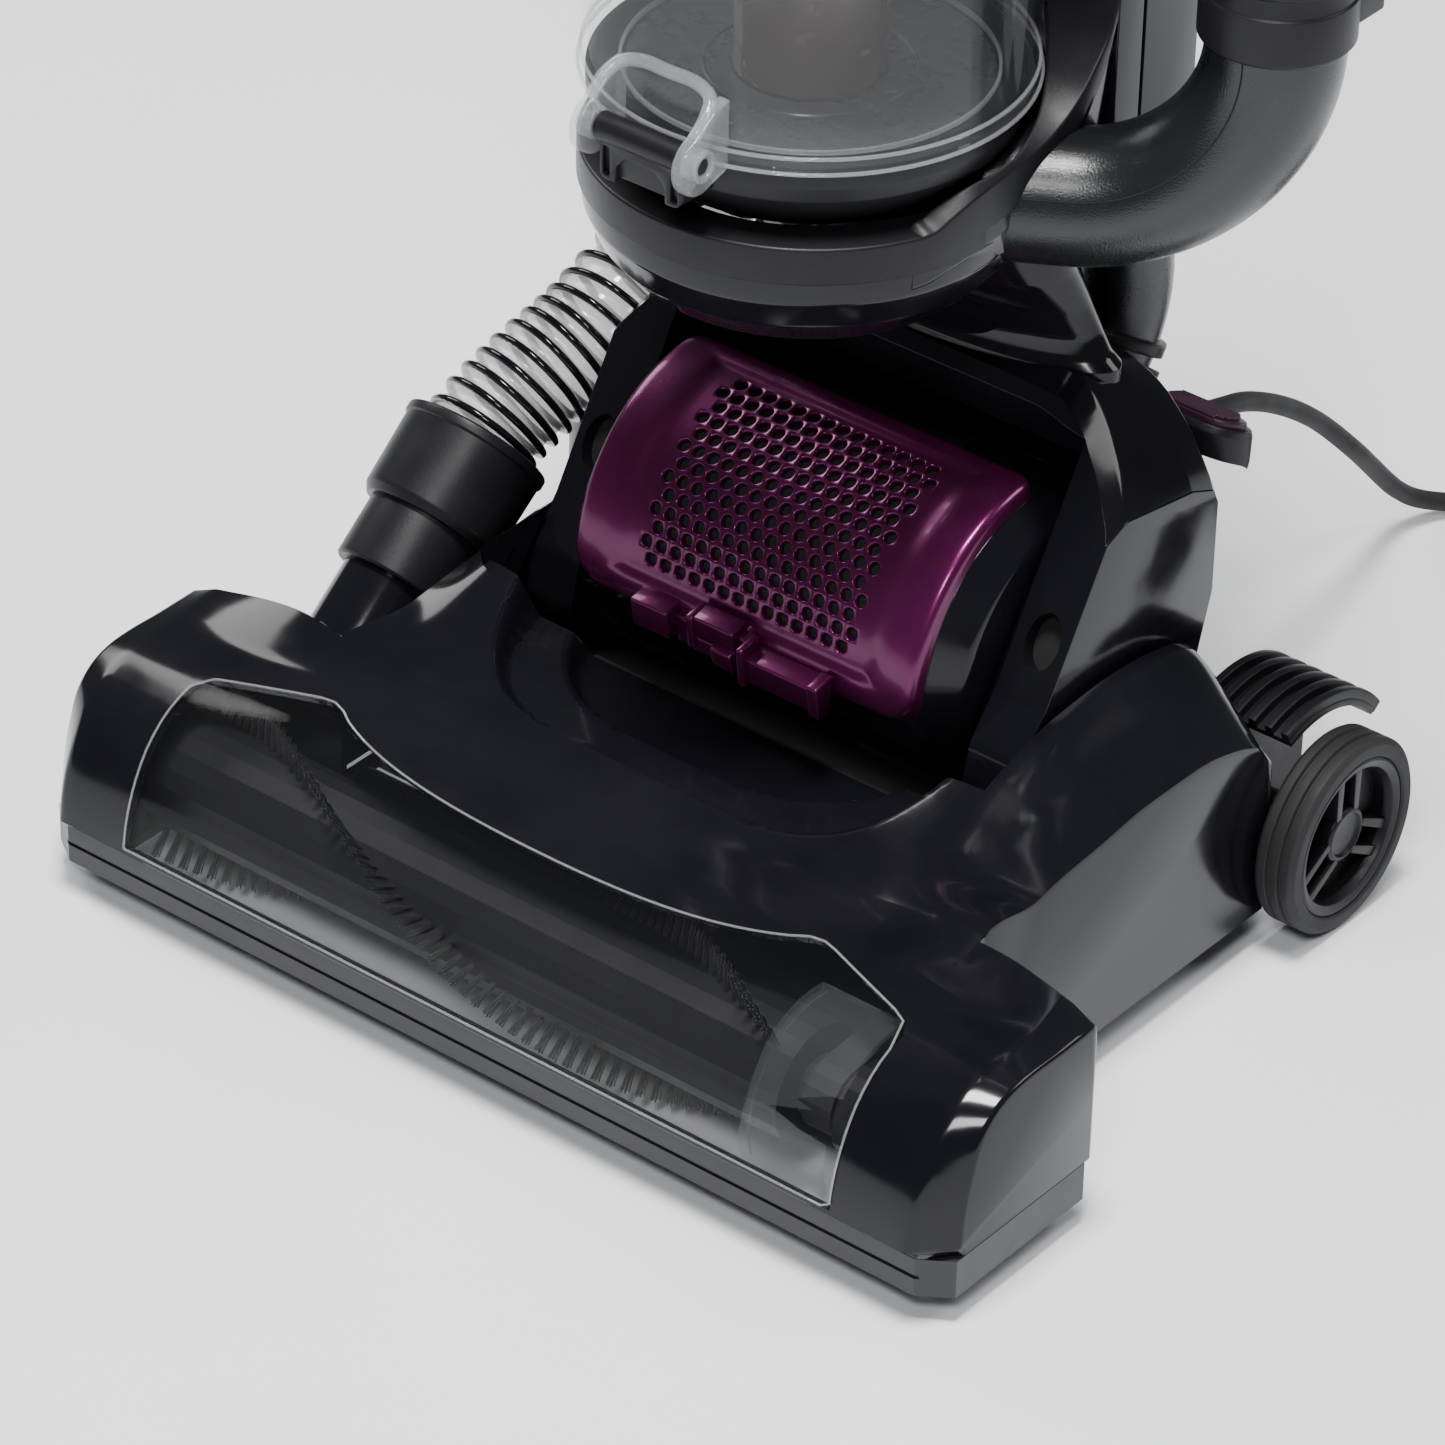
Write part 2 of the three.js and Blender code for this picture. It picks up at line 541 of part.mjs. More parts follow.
const HOSE_CUP = { x: -74, y: 228, z: 211 };
const cuffMouth = socketFoot.clone().addScaledVector(socketAxis, 13);
const hoseRun = [[-116, 161, 109], [-111, 181, 119], [-108, 203, 132], [-101, 219, 151], [-87, 227, 174],
  [-75.6, 228, 192]];
const hoseMouth = (s) => socketFoot.clone().addScaledVector(socketAxis, s).toArray();
const floorHoseRoute = curveThrough([cuffMouth.toArray(), hoseMouth(32), ...hoseRun,
  [HOSE_CUP.x, HOSE_CUP.y, HOSE_CUP.z]]);
const floorHoseBore = curveThrough([hoseMouth(11), hoseMouth(32), ...hoseRun,
  [HOSE_CUP.x, HOSE_CUP.y, HOSE_CUP.z], [HOSE_CUP.x, HOSE_CUP.y, HOSE_CUP.z + 14]]);
piece('floor_hose', cut(
  tubeAlong(floorHoseRoute, HOSE_RADIUS, 12, 16),
  tubeAlong(floorHoseBore, 14.4, 7, 16),
), clear());

// ---------------------------------------------------------------- motor drum
function motorDrum() {
  const profile = [[34, -DRUM.half], [DRUM.radius - 6, -DRUM.half], [DRUM.radius, -DRUM.half + 6],
    [DRUM.radius, DRUM.half - 6], [DRUM.radius - 6, DRUM.half], [34, DRUM.half]];
  const outer = turned(profile, 'x', [0, DRUM.y, DRUM.z], 30);
  const inner = rodX(DRUM.radius - WALL, -DRUM.half + 6, DRUM.half - 6, DRUM.y, DRUM.z, 24);
  const vent = sector(30, 60, 8, 82, -54, 54, DRUM.y, DRUM.z, 12);
  const shaftHole = rodX(7, 50, 80, DRUM.y, DRUM.z, 16);
  return cut(outer, inner, vent, shaftHole);
}
piece('motor_drum', motorDrum(), glossBlack());

piece('motor', cut(
  turned([[20, -58], [36, -50], [38, -44], [38, 20], [30, 28], [30, 48], [12, 56]], 'x',
    [0, DRUM.y, DRUM.z], 28),
  rodX(5, -80, 80, DRUM.y, DRUM.z, 14),
), steel());
piece('motor_shaft', rodX(4.7, -57, 60, DRUM.y, DRUM.z, 14), steel());
piece('exhaust_filter', sector(40.4, 46.6, 10, 80, -52, 52, DRUM.y, DRUM.z, 12), foam());

// Perforated cover over the exhaust filter, hinged along its top edge.
const COVER = { half: 61, low: -6, high: 93, inner: 49.2 };
function filterCover() {
  const shell = sector(COVER.inner, DRUM.cover, COVER.low, COVER.high, -COVER.half, COVER.half, DRUM.y,
    DRUM.z, 20);
  const skirt = sector(47.6, COVER.inner + 0.5, COVER.low, COVER.low + 3, -COVER.half, COVER.half, DRUM.y,
    DRUM.z, 2);
  const field = sector(DRUM.cover - 1.2, 60, 12, 76, -46, 46, DRUM.y, DRUM.z, 12);
  const latchBay = sector(40, 60, COVER.low - 1, COVER.low + 9, -35, 35, DRUM.y, DRUM.z, 3);
  return cut(join(shell, skirt), field, latchBay);
}
piece('filter_cover', filterCover(), purple());
piece('cover_latch', join(
  sector(49.6, 55.4, COVER.low - 3, COVER.low + 8.4, -34.6, 34.6, DRUM.y, DRUM.z, 4),
), purple());

// ---------------------------------------------------------------- air duct behind the body
const DUCT_RADIUS = 14;
const ductRoute = curveThrough([[36, 203, 128.6], [36.4, 227, 145], [36.6, 236.6, 161], [36.6, 238, 178],
  [36.4, 233, 196], [36, 212, 218]]);
function beyondDuct(radius, sides, before, after) {
  return [0, 1].map((t) => {
    const at = ductRoute.getPoint(t);
    const along = ductRoute.getTangent(t);
    const [from, to] = t === 0 ? [-after, before] : [-before, after];
    const [a, b] = [from, to].map((s) => at.clone().addScaledVector(along, s).toArray());
    return cylinderAlong(a, b, radius, sides);
  });
}
const ductBore = () => join(tubeAlong(ductRoute, 10.6, 6, 8), ...beyondDuct(10.6, 6, 1, 3));
const ductSpace = () => join(tubeAlong(ductRoute, DUCT_RADIUS + 0.5, 12, 8),
  ...beyondDuct(DUCT_RADIUS + 0.7, 12, 3, 2));

// ---------------------------------------------------------------- hood between head and body
// Front-to-back outlines of the hood, from the tip of its arm over the top and back underneath.
const HOOD_ARM = [[138, 93.8], [145, 106], [168, 133], [178, 137], [190, 138.4], [203, 135.6], [214, 129],
  [217, 120],
  [217, 96], [211, 76], [206, 58], [188, 47], [170, 40], [148, 43], [132, 52], [124, 66], [128, 82]];
const HOOD_SHOULDER = [[138, 93.8], [145, 106], [168, 134], [176, 146], [188, 153], [202, 152], [213, 144],
  [217, 130],
  [217, 96], [211, 76], [206, 58], [188, 47], [170, 40], [148, 43], [132, 52], [124, 66], [128, 82]];
const HOOD_BACK_EDGE = [[171, 136], [171, 150], [177, 159], [188, 165], [202, 163], [213, 152], [217, 134],
  [217, 110], [208, 100]];
const HOOD_BACK = [[171, 140], [171, 156], [177, 166], [188, 171], [202, 169], [213, 158], [217, 138],
  [217, 110], [208, 100]];
const GLAND_X = 58.6;
const ARM = { inner: 70, shoulder: 74, outer: 88 };

function hood() {
  const arm = loft([
    { x: ARM.inner, loop: HOOD_SHOULDER },
    { x: ARM.shoulder, loop: HOOD_SHOULDER },
    { x: ARM.outer, loop: HOOD_ARM },
  ]);
  const back = loft([
    { x: -ARM.inner - 1, loop: HOOD_BACK_EDGE },
    { x: -48, loop: HOOD_BACK },
    { x: 48, loop: HOOD_BACK },
    { x: ARM.inner + 1, loop: HOOD_BACK_EDGE },
  ]);
  const trunnions = [1, -1].map((side) => {
    const [a, b] = sides(ARM.outer - 6, PIVOT.reach - 1, side);
    return rodX(PIVOT.radius, a, b, PIVOT.y, PIVOT.z, 16);
  });
  const pockets = [1, -1].map((side) => {
    const [a, b] = sides(ARM.inner - 0.1, ARM.outer - WALL, side);
    return join(rodX(33, a, b, 172, 86, 16), rodX(20, a, b, 190, 118, 12));
  });
  const caps = [1, -1].map((side) => {
    const cap = new THREE.CylinderGeometry(5.4, 5.4, 3, 10);
    cap.rotateX(THREE.MathUtils.degToRad(-40));
    cap.translate(side * 80.6, 144.4, 106.8);
    return solid(cap);
  });
  const drumSpace = rodX(DRUM.cover + 2, -ARM.inner, ARM.inner, DRUM.y, DRUM.z, 32);
  const airway = block([-44, 44], [178, 214.4], [105, 160]);
  const cordHole = rodY(4.6, 205, 220, GLAND_X, 137, 12);
  const neckHole = oval([[58 + GAP, 150], [58 + GAP, 176]]);
  return cut(join(arm, mirrored(arm), back), drumSpace, airway, neckHole, ductSpace(), cordHole, ...pockets,
    ...caps)
    .add(trunnions[0]).add(trunnions[1]);
}

// ---------------------------------------------------------------- neck and cradle
const NECK = { y: 188, top: 206, flat: 0.52 };
function oval(profile) {
  const geometry = geometryOf(turned(profile, 'z', [0, 0, 0], 28));
  geometry.scale(1, NECK.flat, 1);
  geometry.translate(0, NECK.y, 0);
  return solid(geometry);
}
function neck() {
  const cone = oval([[58, 158], [58, 172], [66, 172.6], [66, 176], [63, 176.6], [63, 180], [60, 180.6],
    [50, NECK.top]]);
  return cut(cone, block([-34, 34], [176, 206], [150, 210]), ductSpace());
}

const CRADLE = { radius: 62.6, top: 245.4, band: 233.4, foot: 206.6 };
function cradle() {
  const bowl = turned([[40, CRADLE.foot], [50, 210], [57.6, 218], [61, 227], [61.4, CRADLE.band],
    [CRADLE.radius, CRADLE.band + 0.6], [CRADLE.radius, CRADLE.top]], 'z', [0, BIN.y, 0], 32);
  const hollow = turned([[34, 216], [48, 219], [56, 226], [59.4, 236], [59.4, 300]], 'z', [0, BIN.y, 0], 24);
  // The side walls climb from the ring to the spine.
  const rise = [[116, 234], [186.3, 234], [186.3, 294], [180, 284], [161, 269.6], [147, 257.4], [128, 247],
    [116, CRADLE.top]];
  const lowerSpace = rodZ(61.4, 200, 250, 0, BIN.y, 32);
  const binSpace = rodZ(BIN.top + 1.9, 249, 400, 0, BIN.y, 40);
  const walls = cut(prismX(rise, -BODY_X, BODY_X), lowerSpace, binSpace);
  const heading = THREE.MathUtils.degToRad(ELBOW.heading);
  const [dx, dy] = [Math.cos(heading), Math.sin(heading)];
  const [ax, ay] = [ELBOW.x - ELBOW.bend * dx, ELBOW.y - ELBOW.bend * dy];
  const alongElbow = (radius, from, to) => cylinderAlong(
    [ax + from * dx, ay + from * dy, ELBOW.z], [ax + to * dx, ay + to * dy, ELBOW.z], radius, 22);
  const boss = alongElbow(ELBOW.radius, -26, 20).intersect(block([40, BODY_X], [100, 186.3], [200, 262]));
  const shell = cut(join(bowl, boss, walls), hollow, alongElbow(15, -24, 22));
  return cut(shell, block([-90, 90], [186.3, 230], [200, 400]));
}
piece('hood', hood(), glossBlack());
piece('neck', neck(), glossBlack());
piece('cradle', cradle(), glossBlack());

// ---------------------------------------------------------------- spine
function spine() {
  const half = [[BODY_X, SPINE.foot], [BODY_X, 300], [60, 326], [50, 352], [SPINE.half, 380], [SPINE.half, 612],
    [42, 626], [30, 634], [16, SPINE.top]];
  const face = [...half, ...half.map(([x, z]) => [-x, z]).reverse()];
  const column = prismY(face, SPINE.front, SPINE.rear);
  const binSpace = rodZ(BIN.top + 3, 230, 572, 0, BIN.y, 32);
  const lowSpace = rodZ(59, 200, 231, 0, BIN.y, 20);
  const chase = block([-40, 40], [208, 221], [200, 540]);
  const handleSocket = rodZ(HANDLE.radius + GAP, HANDLE.foot - GAP, 700, 0, HANDLE.y);
  const grooves = [-1, 1].map((side) => block(
    [side * BODY_X - 1.2, side * BODY_X + 1.2], [198, 200], [214, 292]));
  const hoseCup = cut(
    rodZ(22, SPINE.foot, 244, HOSE_CUP.x, HOSE_CUP.y),
    rodZ(14, 200, 236, HOSE_CUP.x, HOSE_CUP.y, 16),
  );
  const lowHook = join(
    block([-7, 7], [223, 247.5], [396, 408]),
    block([-7, 7], [242.5, 247.5], [370, 408]),
  );
  const shelf = join(
    block([-88, -48], [192, 221], [324, 336]),
    prismY([[-90, 324], [-48, 290], [-48, 324]], 196, 217),
  );
  const clip = cut(
    join(rodZ(20.4, 392, 408, TOOL.x, TOOL.y), block([-58, -44], [196, 216], [392, 408])),
    rodZ(16.8, 380, 420, TOOL.x, TOOL.y),
    block([-100, -82], [190, 222], [380, 420]),
  );
  const rocker = rodX(7.4, 21.6, 38.4, SPINE.front + 1.4, 604, 18);
  const hookPivot = rodY(4.4, 210, 230, 0, 552, 14);
  const portHole = cylinderAlong([30, HOSE_PORT.y, 606], [60, HOSE_PORT.y, 606], 14, 20);
  const body = join(column, hoseCup, lowHook, shelf, clip);
  return cut(body, binSpace, lowSpace, chase, handleSocket, ...grooves, ductSpace(), rocker, hookPivot,
    portHole,
    rodZ(HOSE_RADIUS + 1.4, 200, 214, HOSE_CUP.x, HOSE_CUP.y));
}
piece('spine', spine(), glossBlack());

piece('rear_duct', cut(tubeAlong(ductRoute, DUCT_RADIUS, 12, 8), ductBore()), satinBlack());

// ---------------------------------------------------------------- elbow, stretch hose and port
class Bend extends THREE.Curve {
  // Straight, quarter turn, straight: from `start` heading `from`, leaving along `to`.
  constructor(start, from, to, first, radius, last) {
    super();
    Object.assign(this, { start, from, to, first, radius, last });
    this.quarter = (Math.PI / 2) * radius;
    this.total = first + this.quarter + last;
  }
  getPoint(t, target = new THREE.Vector3()) {
    const s = t * this.total;
    const turn = Math.min(Math.max((s - this.first) / this.radius, 0), Math.PI / 2);
    const along = Math.min(s, this.first) + this.radius * Math.sin(turn);
    const across = this.radius * (1 - Math.cos(turn)) + Math.max(s - this.first - this.quarter, 0);
    return target.copy(this.start).addScaledVector(this.from, along).addScaledVector(this.to, across);
  }
}

function bentTube(start, from, to, lengths, outer, bore, steps) {
  const [first, radius, last] = lengths;
  const wall = new Bend(new THREE.Vector3(...start), from, to, first, radius, last);
  const back = new THREE.Vector3(...start).addScaledVector(from, -2);
  const core = new Bend(back, from, to, first + 2, radius, last + 2);
  return cut(tubeAlong(wall, outer, 20, steps), tubeAlong(core, bore, 8, steps));
}

const heading = THREE.MathUtils.degToRad(ELBOW.heading);
const INTO_ELBOW = new THREE.Vector3(Math.cos(heading), Math.sin(heading), 0);
const SKY = new THREE.Vector3(0, 0, 1);
const elbowFoot = [
  ELBOW.x - (ELBOW.bend + 22) * INTO_ELBOW.x,
  ELBOW.y - (ELBOW.bend + 22) * INTO_ELBOW.y,
  ELBOW.z,
];
piece('elbow', bentTube(elbowFoot, INTO_ELBOW, SKY, [22, ELBOW.bend, 13], ELBOW.radius, 16, 14)
  .intersect(block([BODY_X + GAP, 200], [100, 252], [200, 400])), satinBlack());

piece('hose_end', cut(
  join(
    turned([[20.4, 292], [21.4, 292.8], [21.4, 306], [20.8, 306.6], [20.8, 312], [21.8, 312.8], [21.8, 330],
      [20.6, 331.4]],
      'z', [ELBOW.x, ELBOW.y, 0], 22),
    block([ELBOW.x + 12, ELBOW.x + 18], [ELBOW.y + 10, ELBOW.y + 24], [296, 318]),
  ),
  rodZ(ELBOW.radius + 0.5, 280, 303.4, ELBOW.x, ELBOW.y, 22),
  rodZ(15, 300, 340, ELBOW.x, ELBOW.y, 12),
  rodZ(HOSE_RADIUS + 0.8, 322, 340, ELBOW.x, ELBOW.y, 22),
  block([ELBOW.x + 11.7, ELBOW.x + 18.3], [ELBOW.y + 16.6, ELBOW.y + 22.3], [300, 314]),
  block([ELBOW.x + 11.7, ELBOW.x + 18.3], [ELBOW.y + 20, ELBOW.y + 25], [302.7, 311.3]),
), satinBlack());
piece('cuff_latch', join(
  block([ELBOW.x + 12, ELBOW.x + 18], [ELBOW.y + 18.3, ELBOW.y + 22], [300.3, 313.7]),
  block([ELBOW.x + 12, ELBOW.x + 18], [ELBOW.y + 21, ELBOW.y + 27], [303, 311]),
), softGrey());

const hoseFoot = [ELBOW.x, ELBOW.y, 323];
const hoseHead = [HOSE_PORT.x, HOSE_PORT.y, HOSE_PORT.z - 1];
piece('stretch_hose', cut(
  cylinderAlong(hoseFoot, hoseHead, HOSE_RADIUS, 22),
  cylinderAlong([hoseFoot[0], hoseFoot[1], 318], [hoseHead[0], hoseHead[1], HOSE_PORT.z + 4], 15, 14),
), clear());

const SIDE_DOWN = [new THREE.Vector3(0, 0, 1), new THREE.Vector3(-1, 0, 0)];
piece('hose_port', cut(
  bentTube([HOSE_PORT.x, HOSE_PORT.y, HOSE_PORT.z - 12], ...SIDE_DOWN,
    [12, HOSE_PORT.bend, HOSE_PORT.x - HOSE_PORT.bend - SPINE.half - GAP], 20.6, 14, 9),
  rodZ(HOSE_RADIUS + 0.8, HOSE_PORT.z - 20, HOSE_PORT.z, HOSE_PORT.x, HOSE_PORT.y, 22),
), satinBlack());

// ---------------------------------------------------------------- dust bin
const ring = (outer, inner, z0, z1, segments = 48) => cut(
  rodZ(outer, z0, z1, 0, BIN.y, segments), rodZ(inner, z0 - 1, z1 + 1, 0, BIN.y, segments));

function binCup() {
  const wall = turned([[BIN.radius, BIN.base], [BIN.radius, 270], [BIN.radius - 0.6, 270.6],
    [BIN.top, BIN.rim]],
    'z', [0, BIN.y, 0], 40);
  const bore = turned([[BIN.radius - 4, 260], [BIN.radius - 4, 269], [BIN.radius - 2.8, 271],
    [BIN.top - BIN.wall, BIN.rim + 1]], 'z', [0, BIN.y, 0], 40);
  const lugShape = [[DOOR_HINGE.y - 9, 270], [DOOR_HINGE.y - 6.6, 263.4], [DOOR_HINGE.y, 261],
    [DOOR_HINGE.y + 8, 263.4],
    [80, 268], [80, 286], [72, 284.6], [63, 280], [DOOR_HINGE.y - 8.4, 276]];
  const lugs = [-1, 1].map((side) => {
    const [a, b] = sides(DOOR_HINGE.half + GAP, DOOR_HINGE.half + 4.3, side);
    return cut(prismX(lugShape, a, b), rodX(2.4 + GAP, a - 1, b + 1, DOOR_HINGE.y, DOOR_HINGE.z, 14));
  });
  const brow = block([-17, 17], [74.4, 79], [281, 285.4]);
  return cut(join(wall, ...lugs, brow), bore);
}
piece('bin_cup', binCup(), clear());

function binDoor() {
  const dish = turned([[44, 243], [46.6, 243.6], [52, 249], [58.6, 257], [60.4, 262], [60.4, BIN.base - GAP]],
    'z', [0, BIN.y, 0], 30);
  const underside = turned([[40, 240], [42, 247], [52, 258], [54, 263]], 'z', [0, BIN.y, 0], 18);
  const neckRing = cut(ring(23.4, 21.4, BIN.base - 2, 272, 28));
  const bar = rodX(DOOR_HINGE.radius, -DOOR_HINGE.half, DOOR_HINGE.half, DOOR_HINGE.y, DOOR_HINGE.z, 18);
  const pin = rodX(2.4, -DOOR_HINGE.half - 4, DOOR_HINGE.half + 4, DOOR_HINGE.y, DOOR_HINGE.z, 14);
  const arm = prismX([[65, 270], [70.6, 270], [72, 266.3], [84, 266.3], [84, 259], [74, 258.4], [68, 259],
    [65.4, 262]], -13.6, 13.6);
  const eye = prismZ([[-7.6, 60], [-5, 57], [5, 57], [7.6, 60], [7.6, 70], [5, 72.4], [-5, 72.4],
    [-7.6, 70]], 250, 266.4);
  return join(cut(join(cut(dish, underside), arm), eye), neckRing, bar, pin);
}
piece('bin_door', binDoor(), satinBlack());
piece('door_latch', cut(
  join(block([-12, 12], [199.4, 203.6], [246, 268]), block([-12, 12], [196.6, 203.6], [262.4, 266])),
  rodZ(BIN.radius + GAP, 240, 280, 0, BIN.y, 48),
), softGrey());

piece('cyclone', cut(
  turned([[21, 266.9], [21, 332], [30, 346], [42, 350], [42, 446], [58.4, 450], [58.4, 456]], 'z',
    [0, BIN.y, 0], 26),
  turned([[18.6, 260], [18.6, 334], [27.6, 348], [39, 354], [39, 460]], 'z', [0, BIN.y, 0], 18),
), smoke());
piece('shroud', cut(
  turned([[52, 344], [54, 346], [47, 360], [47, 446.4]], 'z', [0, BIN.y, 0], 28),
  turned([[49, 340], [50, 346], [44.6, 358], [44.6, 450]], 'z', [0, BIN.y, 0], 24),
), finish(0x8f8a90, 0.35, 0.8));

function binLid() {
  const dome = turned([[BIN.top + 1.4, BIN.rim + GAP], [BIN.top + 1.4, 486], [BIN.top - 2, 496], [56, 508],
    [44, 516],
    [26, 520]], 'z', [0, BIN.y, 0], 36);
  const inside = turned([[55, 470], [55, 500], [42, 508]], 'z', [0, BIN.y, 0], 24);
  const handle = cut(
    prismX([[78, 490], [76, 520], [80, 544], [92, 556], [112, 560], [140, 557], [166, 546], [184, 526],
      [190, 500]], -13, 13),
    prismX([[94, 506], [91, 524], [94, 538], [102, 545], [116, 547], [138, 544], [158, 534], [170, 520],
      [176, 508]], -14, 14)
      .subtract(dome),
  );
  const buttonWell = block([-8.3, 8.3], [99.7, 120.3], [553.4, 562]);
  return cut(join(dome, handle), inside, buttonWell);
}
piece('bin_lid', binLid(), purple());
piece('bin_button', block([-8, 8], [100, 120], [556.9, 562.5]), softGrey());
piece('premotor_filter', cut(rodZ(52, 476, 494, 0, BIN.y, 26), rodZ(14, 470, 500, 0, BIN.y, 20)), foam());

// ---------------------------------------------------------------- handle, controls and tools
piece('handle_tube', cut(
  rodZ(HANDLE.radius, HANDLE.foot, HANDLE.top, 0, HANDLE.y, 28),
  rodZ(HANDLE.radius - 1.6, HANDLE.foot - 1, HANDLE.top + 1, 0, HANDLE.y, 20),
), steel());

function gripLoop(radius, segments, steps) {
  const path = new THREE.CatmullRomCurve3([[207, 992], [228, 1000], [241, 1020], [241.4, 1046], [226, 1065],
    [196, 1069.6],
    [171, 1060], [160, 1038], [166, 1012], [184, 994]].map(([y, z]) => new THREE.Vector3(0, y, z)), true,
      'centripetal');
  return tubeAlong(path, radius, segments, steps);
}
function handleGrip() {
  const socket = cut(
    turned([[17, 948], [18, 950], [18, 976], [14, 998]], 'z', [0, HANDLE.y, 0], 28),
    rodZ(HANDLE.radius + GAP, 940, HANDLE.top + GAP, 0, HANDLE.y, 28),
  );
  return join(gripLoop(10.6, 8, 20), socket);
}
piece('handle_grip', handleGrip(), satinBlack());

const PEDAL = { y: 221.4, z: 140 };
piece('recline_pedal', join(
  rodX(3.4, 66, 86, PEDAL.y, PEDAL.z, 16),
  prismX([[221, 143.4], [223, 146], [238, 138.6], [240, 136], [239, 130], [236, 128.6], [222, 136.6]], 66, 86),
  ...[0, 1, 2, 3].map((i) => block([67, 85], [225 + i * 3.4, 226.6 + i * 3.4],
    [136 - i * 1.6, 146.2 - i * 1.66])),
), softGrey());
piece('cord_gland', cut(
  cylinderAlong([GLAND_X, 213, 138.1], [GLAND_X, 245, 129], 6.4, 16, 4.8),
  cylinderAlong([GLAND_X, 211, 138.7], [GLAND_X, 249, 127.9], CORD_RADIUS + GAP, 10),
  block([40, 70], [200, 217.3], [120, 150]),
), rubber());

piece('power_switch', join(
  rodX(7, 22, 38, SPINE.front + 1.4, 604, 18),
  block([22, 38], [SPINE.front - 7.4, SPINE.front - 2], [596, 612]),
), purple());
piece('cord_hook', join(
  rodY(4, 212, 230, 0, 552, 12),
  rodY(11, SPINE.rear + GAP, 230, 0, 552, 24),
  block([-7, 7], [228, 248], [546, 558]),
  block([-7, 7], [243, 248], [546, 590]),
), satinBlack());

function creviceTool() {
  const socket = rodZ(16.4, TOOL.foot, 432, TOOL.x, TOOL.y);
  const blade = new THREE.CylinderGeometry(1, 1, 1, 18, 2);
  const place = blade.attributes.position;
  for (let i = 0; i < place.count; i += 1) {
    const rise = place.getY(i) + 0.5;
    const thin = 16.4 - 9.4 * Math.min(rise * 1.6, 1);
    const [u, v] = [place.getX(i) * thin, place.getZ(i) * (16.4 + 1.6 * rise)];
    place.setXYZ(i, TOOL.x + u, TOOL.y + v, 431.9 + (TOOL.top - 431.9) * rise);
  }
  const bore = rodZ(14, TOOL.foot - 1, 430, TOOL.x, TOOL.y, 20);
  const slot = block([TOOL.x - 4.6, TOOL.x + 4.6], [TOOL.y - 14, TOOL.y + 14], [428, TOOL.top + 1]);
  return cut(join(socket, solid(blade)), bore, slot);
}
piece('crevice_tool', creviceTool(), satinBlack());

// ---------------------------------------------------------------- mains lead
const LEAD = [[GLAND_X, 224, 135], [GLAND_X, 245, 129], [GLAND_X - 0.6, 258, 125], [55, 276, 117.6], [50.4, 301, 103],
  [44.6, 330, 82], [38.6, 362, 54], [34.9, 377.9, 39.3], [31.1, 393.8, 24.5], [30.2, 401.9, 17.1], [31, 410.5, 10.4],
  [34.2, 419.9, 5.7], [40.2, 428.8, 3.5], [47.9, 436.6, 3.1], [55.7, 444.4, 3.1], [66, 454.8, 3.1]];
piece('cord', tubeAlong(curveThrough(LEAD), CORD_RADIUS, 8, 24), rubber());

// The rest of the lead lies in a coil beside the machine, wound in four layers of six turns.
function cordCoil() {
  const outer = COIL.mean + COIL.half;
  const loops = turned([[outer - 3, 0.1], [outer, 3], [outer, COIL.top - 3], [outer - 3, COIL.top]],
    'z', [COIL.x, COIL.y, 0], 36);
  return cut(loops, rodZ(COIL.mean - COIL.half, -1, COIL.top + 1, COIL.x, COIL.y, 24));
}
piece('cord_coil', cordCoil(), rubber());

const PLUG = { x: 180, y: 369, z: 11 };
function mainsPlug() {
  const { x, y, z } = PLUG;
  const side = [[y, z - 6], [y - 3, 0.4], [y - 30, 0.4], [y - 30, 21.6], [y - 3, 21.6], [y, z + 6]];
  const relief = cylinderAlong([x, y + 44, z + 5.2], [x, y - 1, z], 4, 12, 5.6);
  const pin = (way) => rodY(2.4, y - 48, y - 29, x + way * 9.5, z, 12);
  return join(prismX(side, x - 14, x + 14), relief, pin(-1), pin(1));
}
piece('plug', mainsPlug(), rubber());

machine.position.y = -(FRONT_Y + REAR_Y) / 2;
export default machine;
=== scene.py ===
"""Looks of the upright vacuum cleaner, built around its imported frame."""

from math import asin, copysign, cos, hypot, pi, radians, sin, sqrt, tan

import bmesh
import bpy
from mathutils import Matrix, Vector


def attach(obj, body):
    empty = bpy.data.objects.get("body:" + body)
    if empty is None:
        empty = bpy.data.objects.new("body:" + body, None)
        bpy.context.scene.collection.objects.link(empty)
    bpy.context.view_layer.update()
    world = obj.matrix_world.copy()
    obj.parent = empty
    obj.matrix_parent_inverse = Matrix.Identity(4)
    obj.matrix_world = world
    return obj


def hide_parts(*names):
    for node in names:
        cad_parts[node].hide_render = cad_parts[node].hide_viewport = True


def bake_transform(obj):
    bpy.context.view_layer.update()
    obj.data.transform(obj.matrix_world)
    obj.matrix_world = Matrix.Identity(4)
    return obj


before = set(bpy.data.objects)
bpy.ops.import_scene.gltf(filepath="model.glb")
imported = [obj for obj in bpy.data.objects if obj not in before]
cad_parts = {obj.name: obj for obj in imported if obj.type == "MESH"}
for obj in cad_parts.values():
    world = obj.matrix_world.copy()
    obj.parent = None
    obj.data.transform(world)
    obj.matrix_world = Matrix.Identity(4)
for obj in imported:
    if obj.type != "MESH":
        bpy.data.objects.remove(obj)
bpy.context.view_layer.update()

# Lengths below are in millimetres, measured back from the front edge of the base plate as in the
# part's source; at() turns such a place into the frame's metres.
MM = 0.001
ORIGIN_Y = 124.45


def at(x, y, z):
    return Vector((x * MM, (y - ORIGIN_Y) * MM, z * MM))


# ------------------------------------------------------------------ camera
CAMERA = {"place": (1037.3, -1204.5, 1203.9), "azimuth": 38.316, "down": 34.17, "roll": 1.34,
    "lens": 179.4, "sensor": 36, "shift": (-0.00235, -0.0006), "near": 0.05, "far": 50}


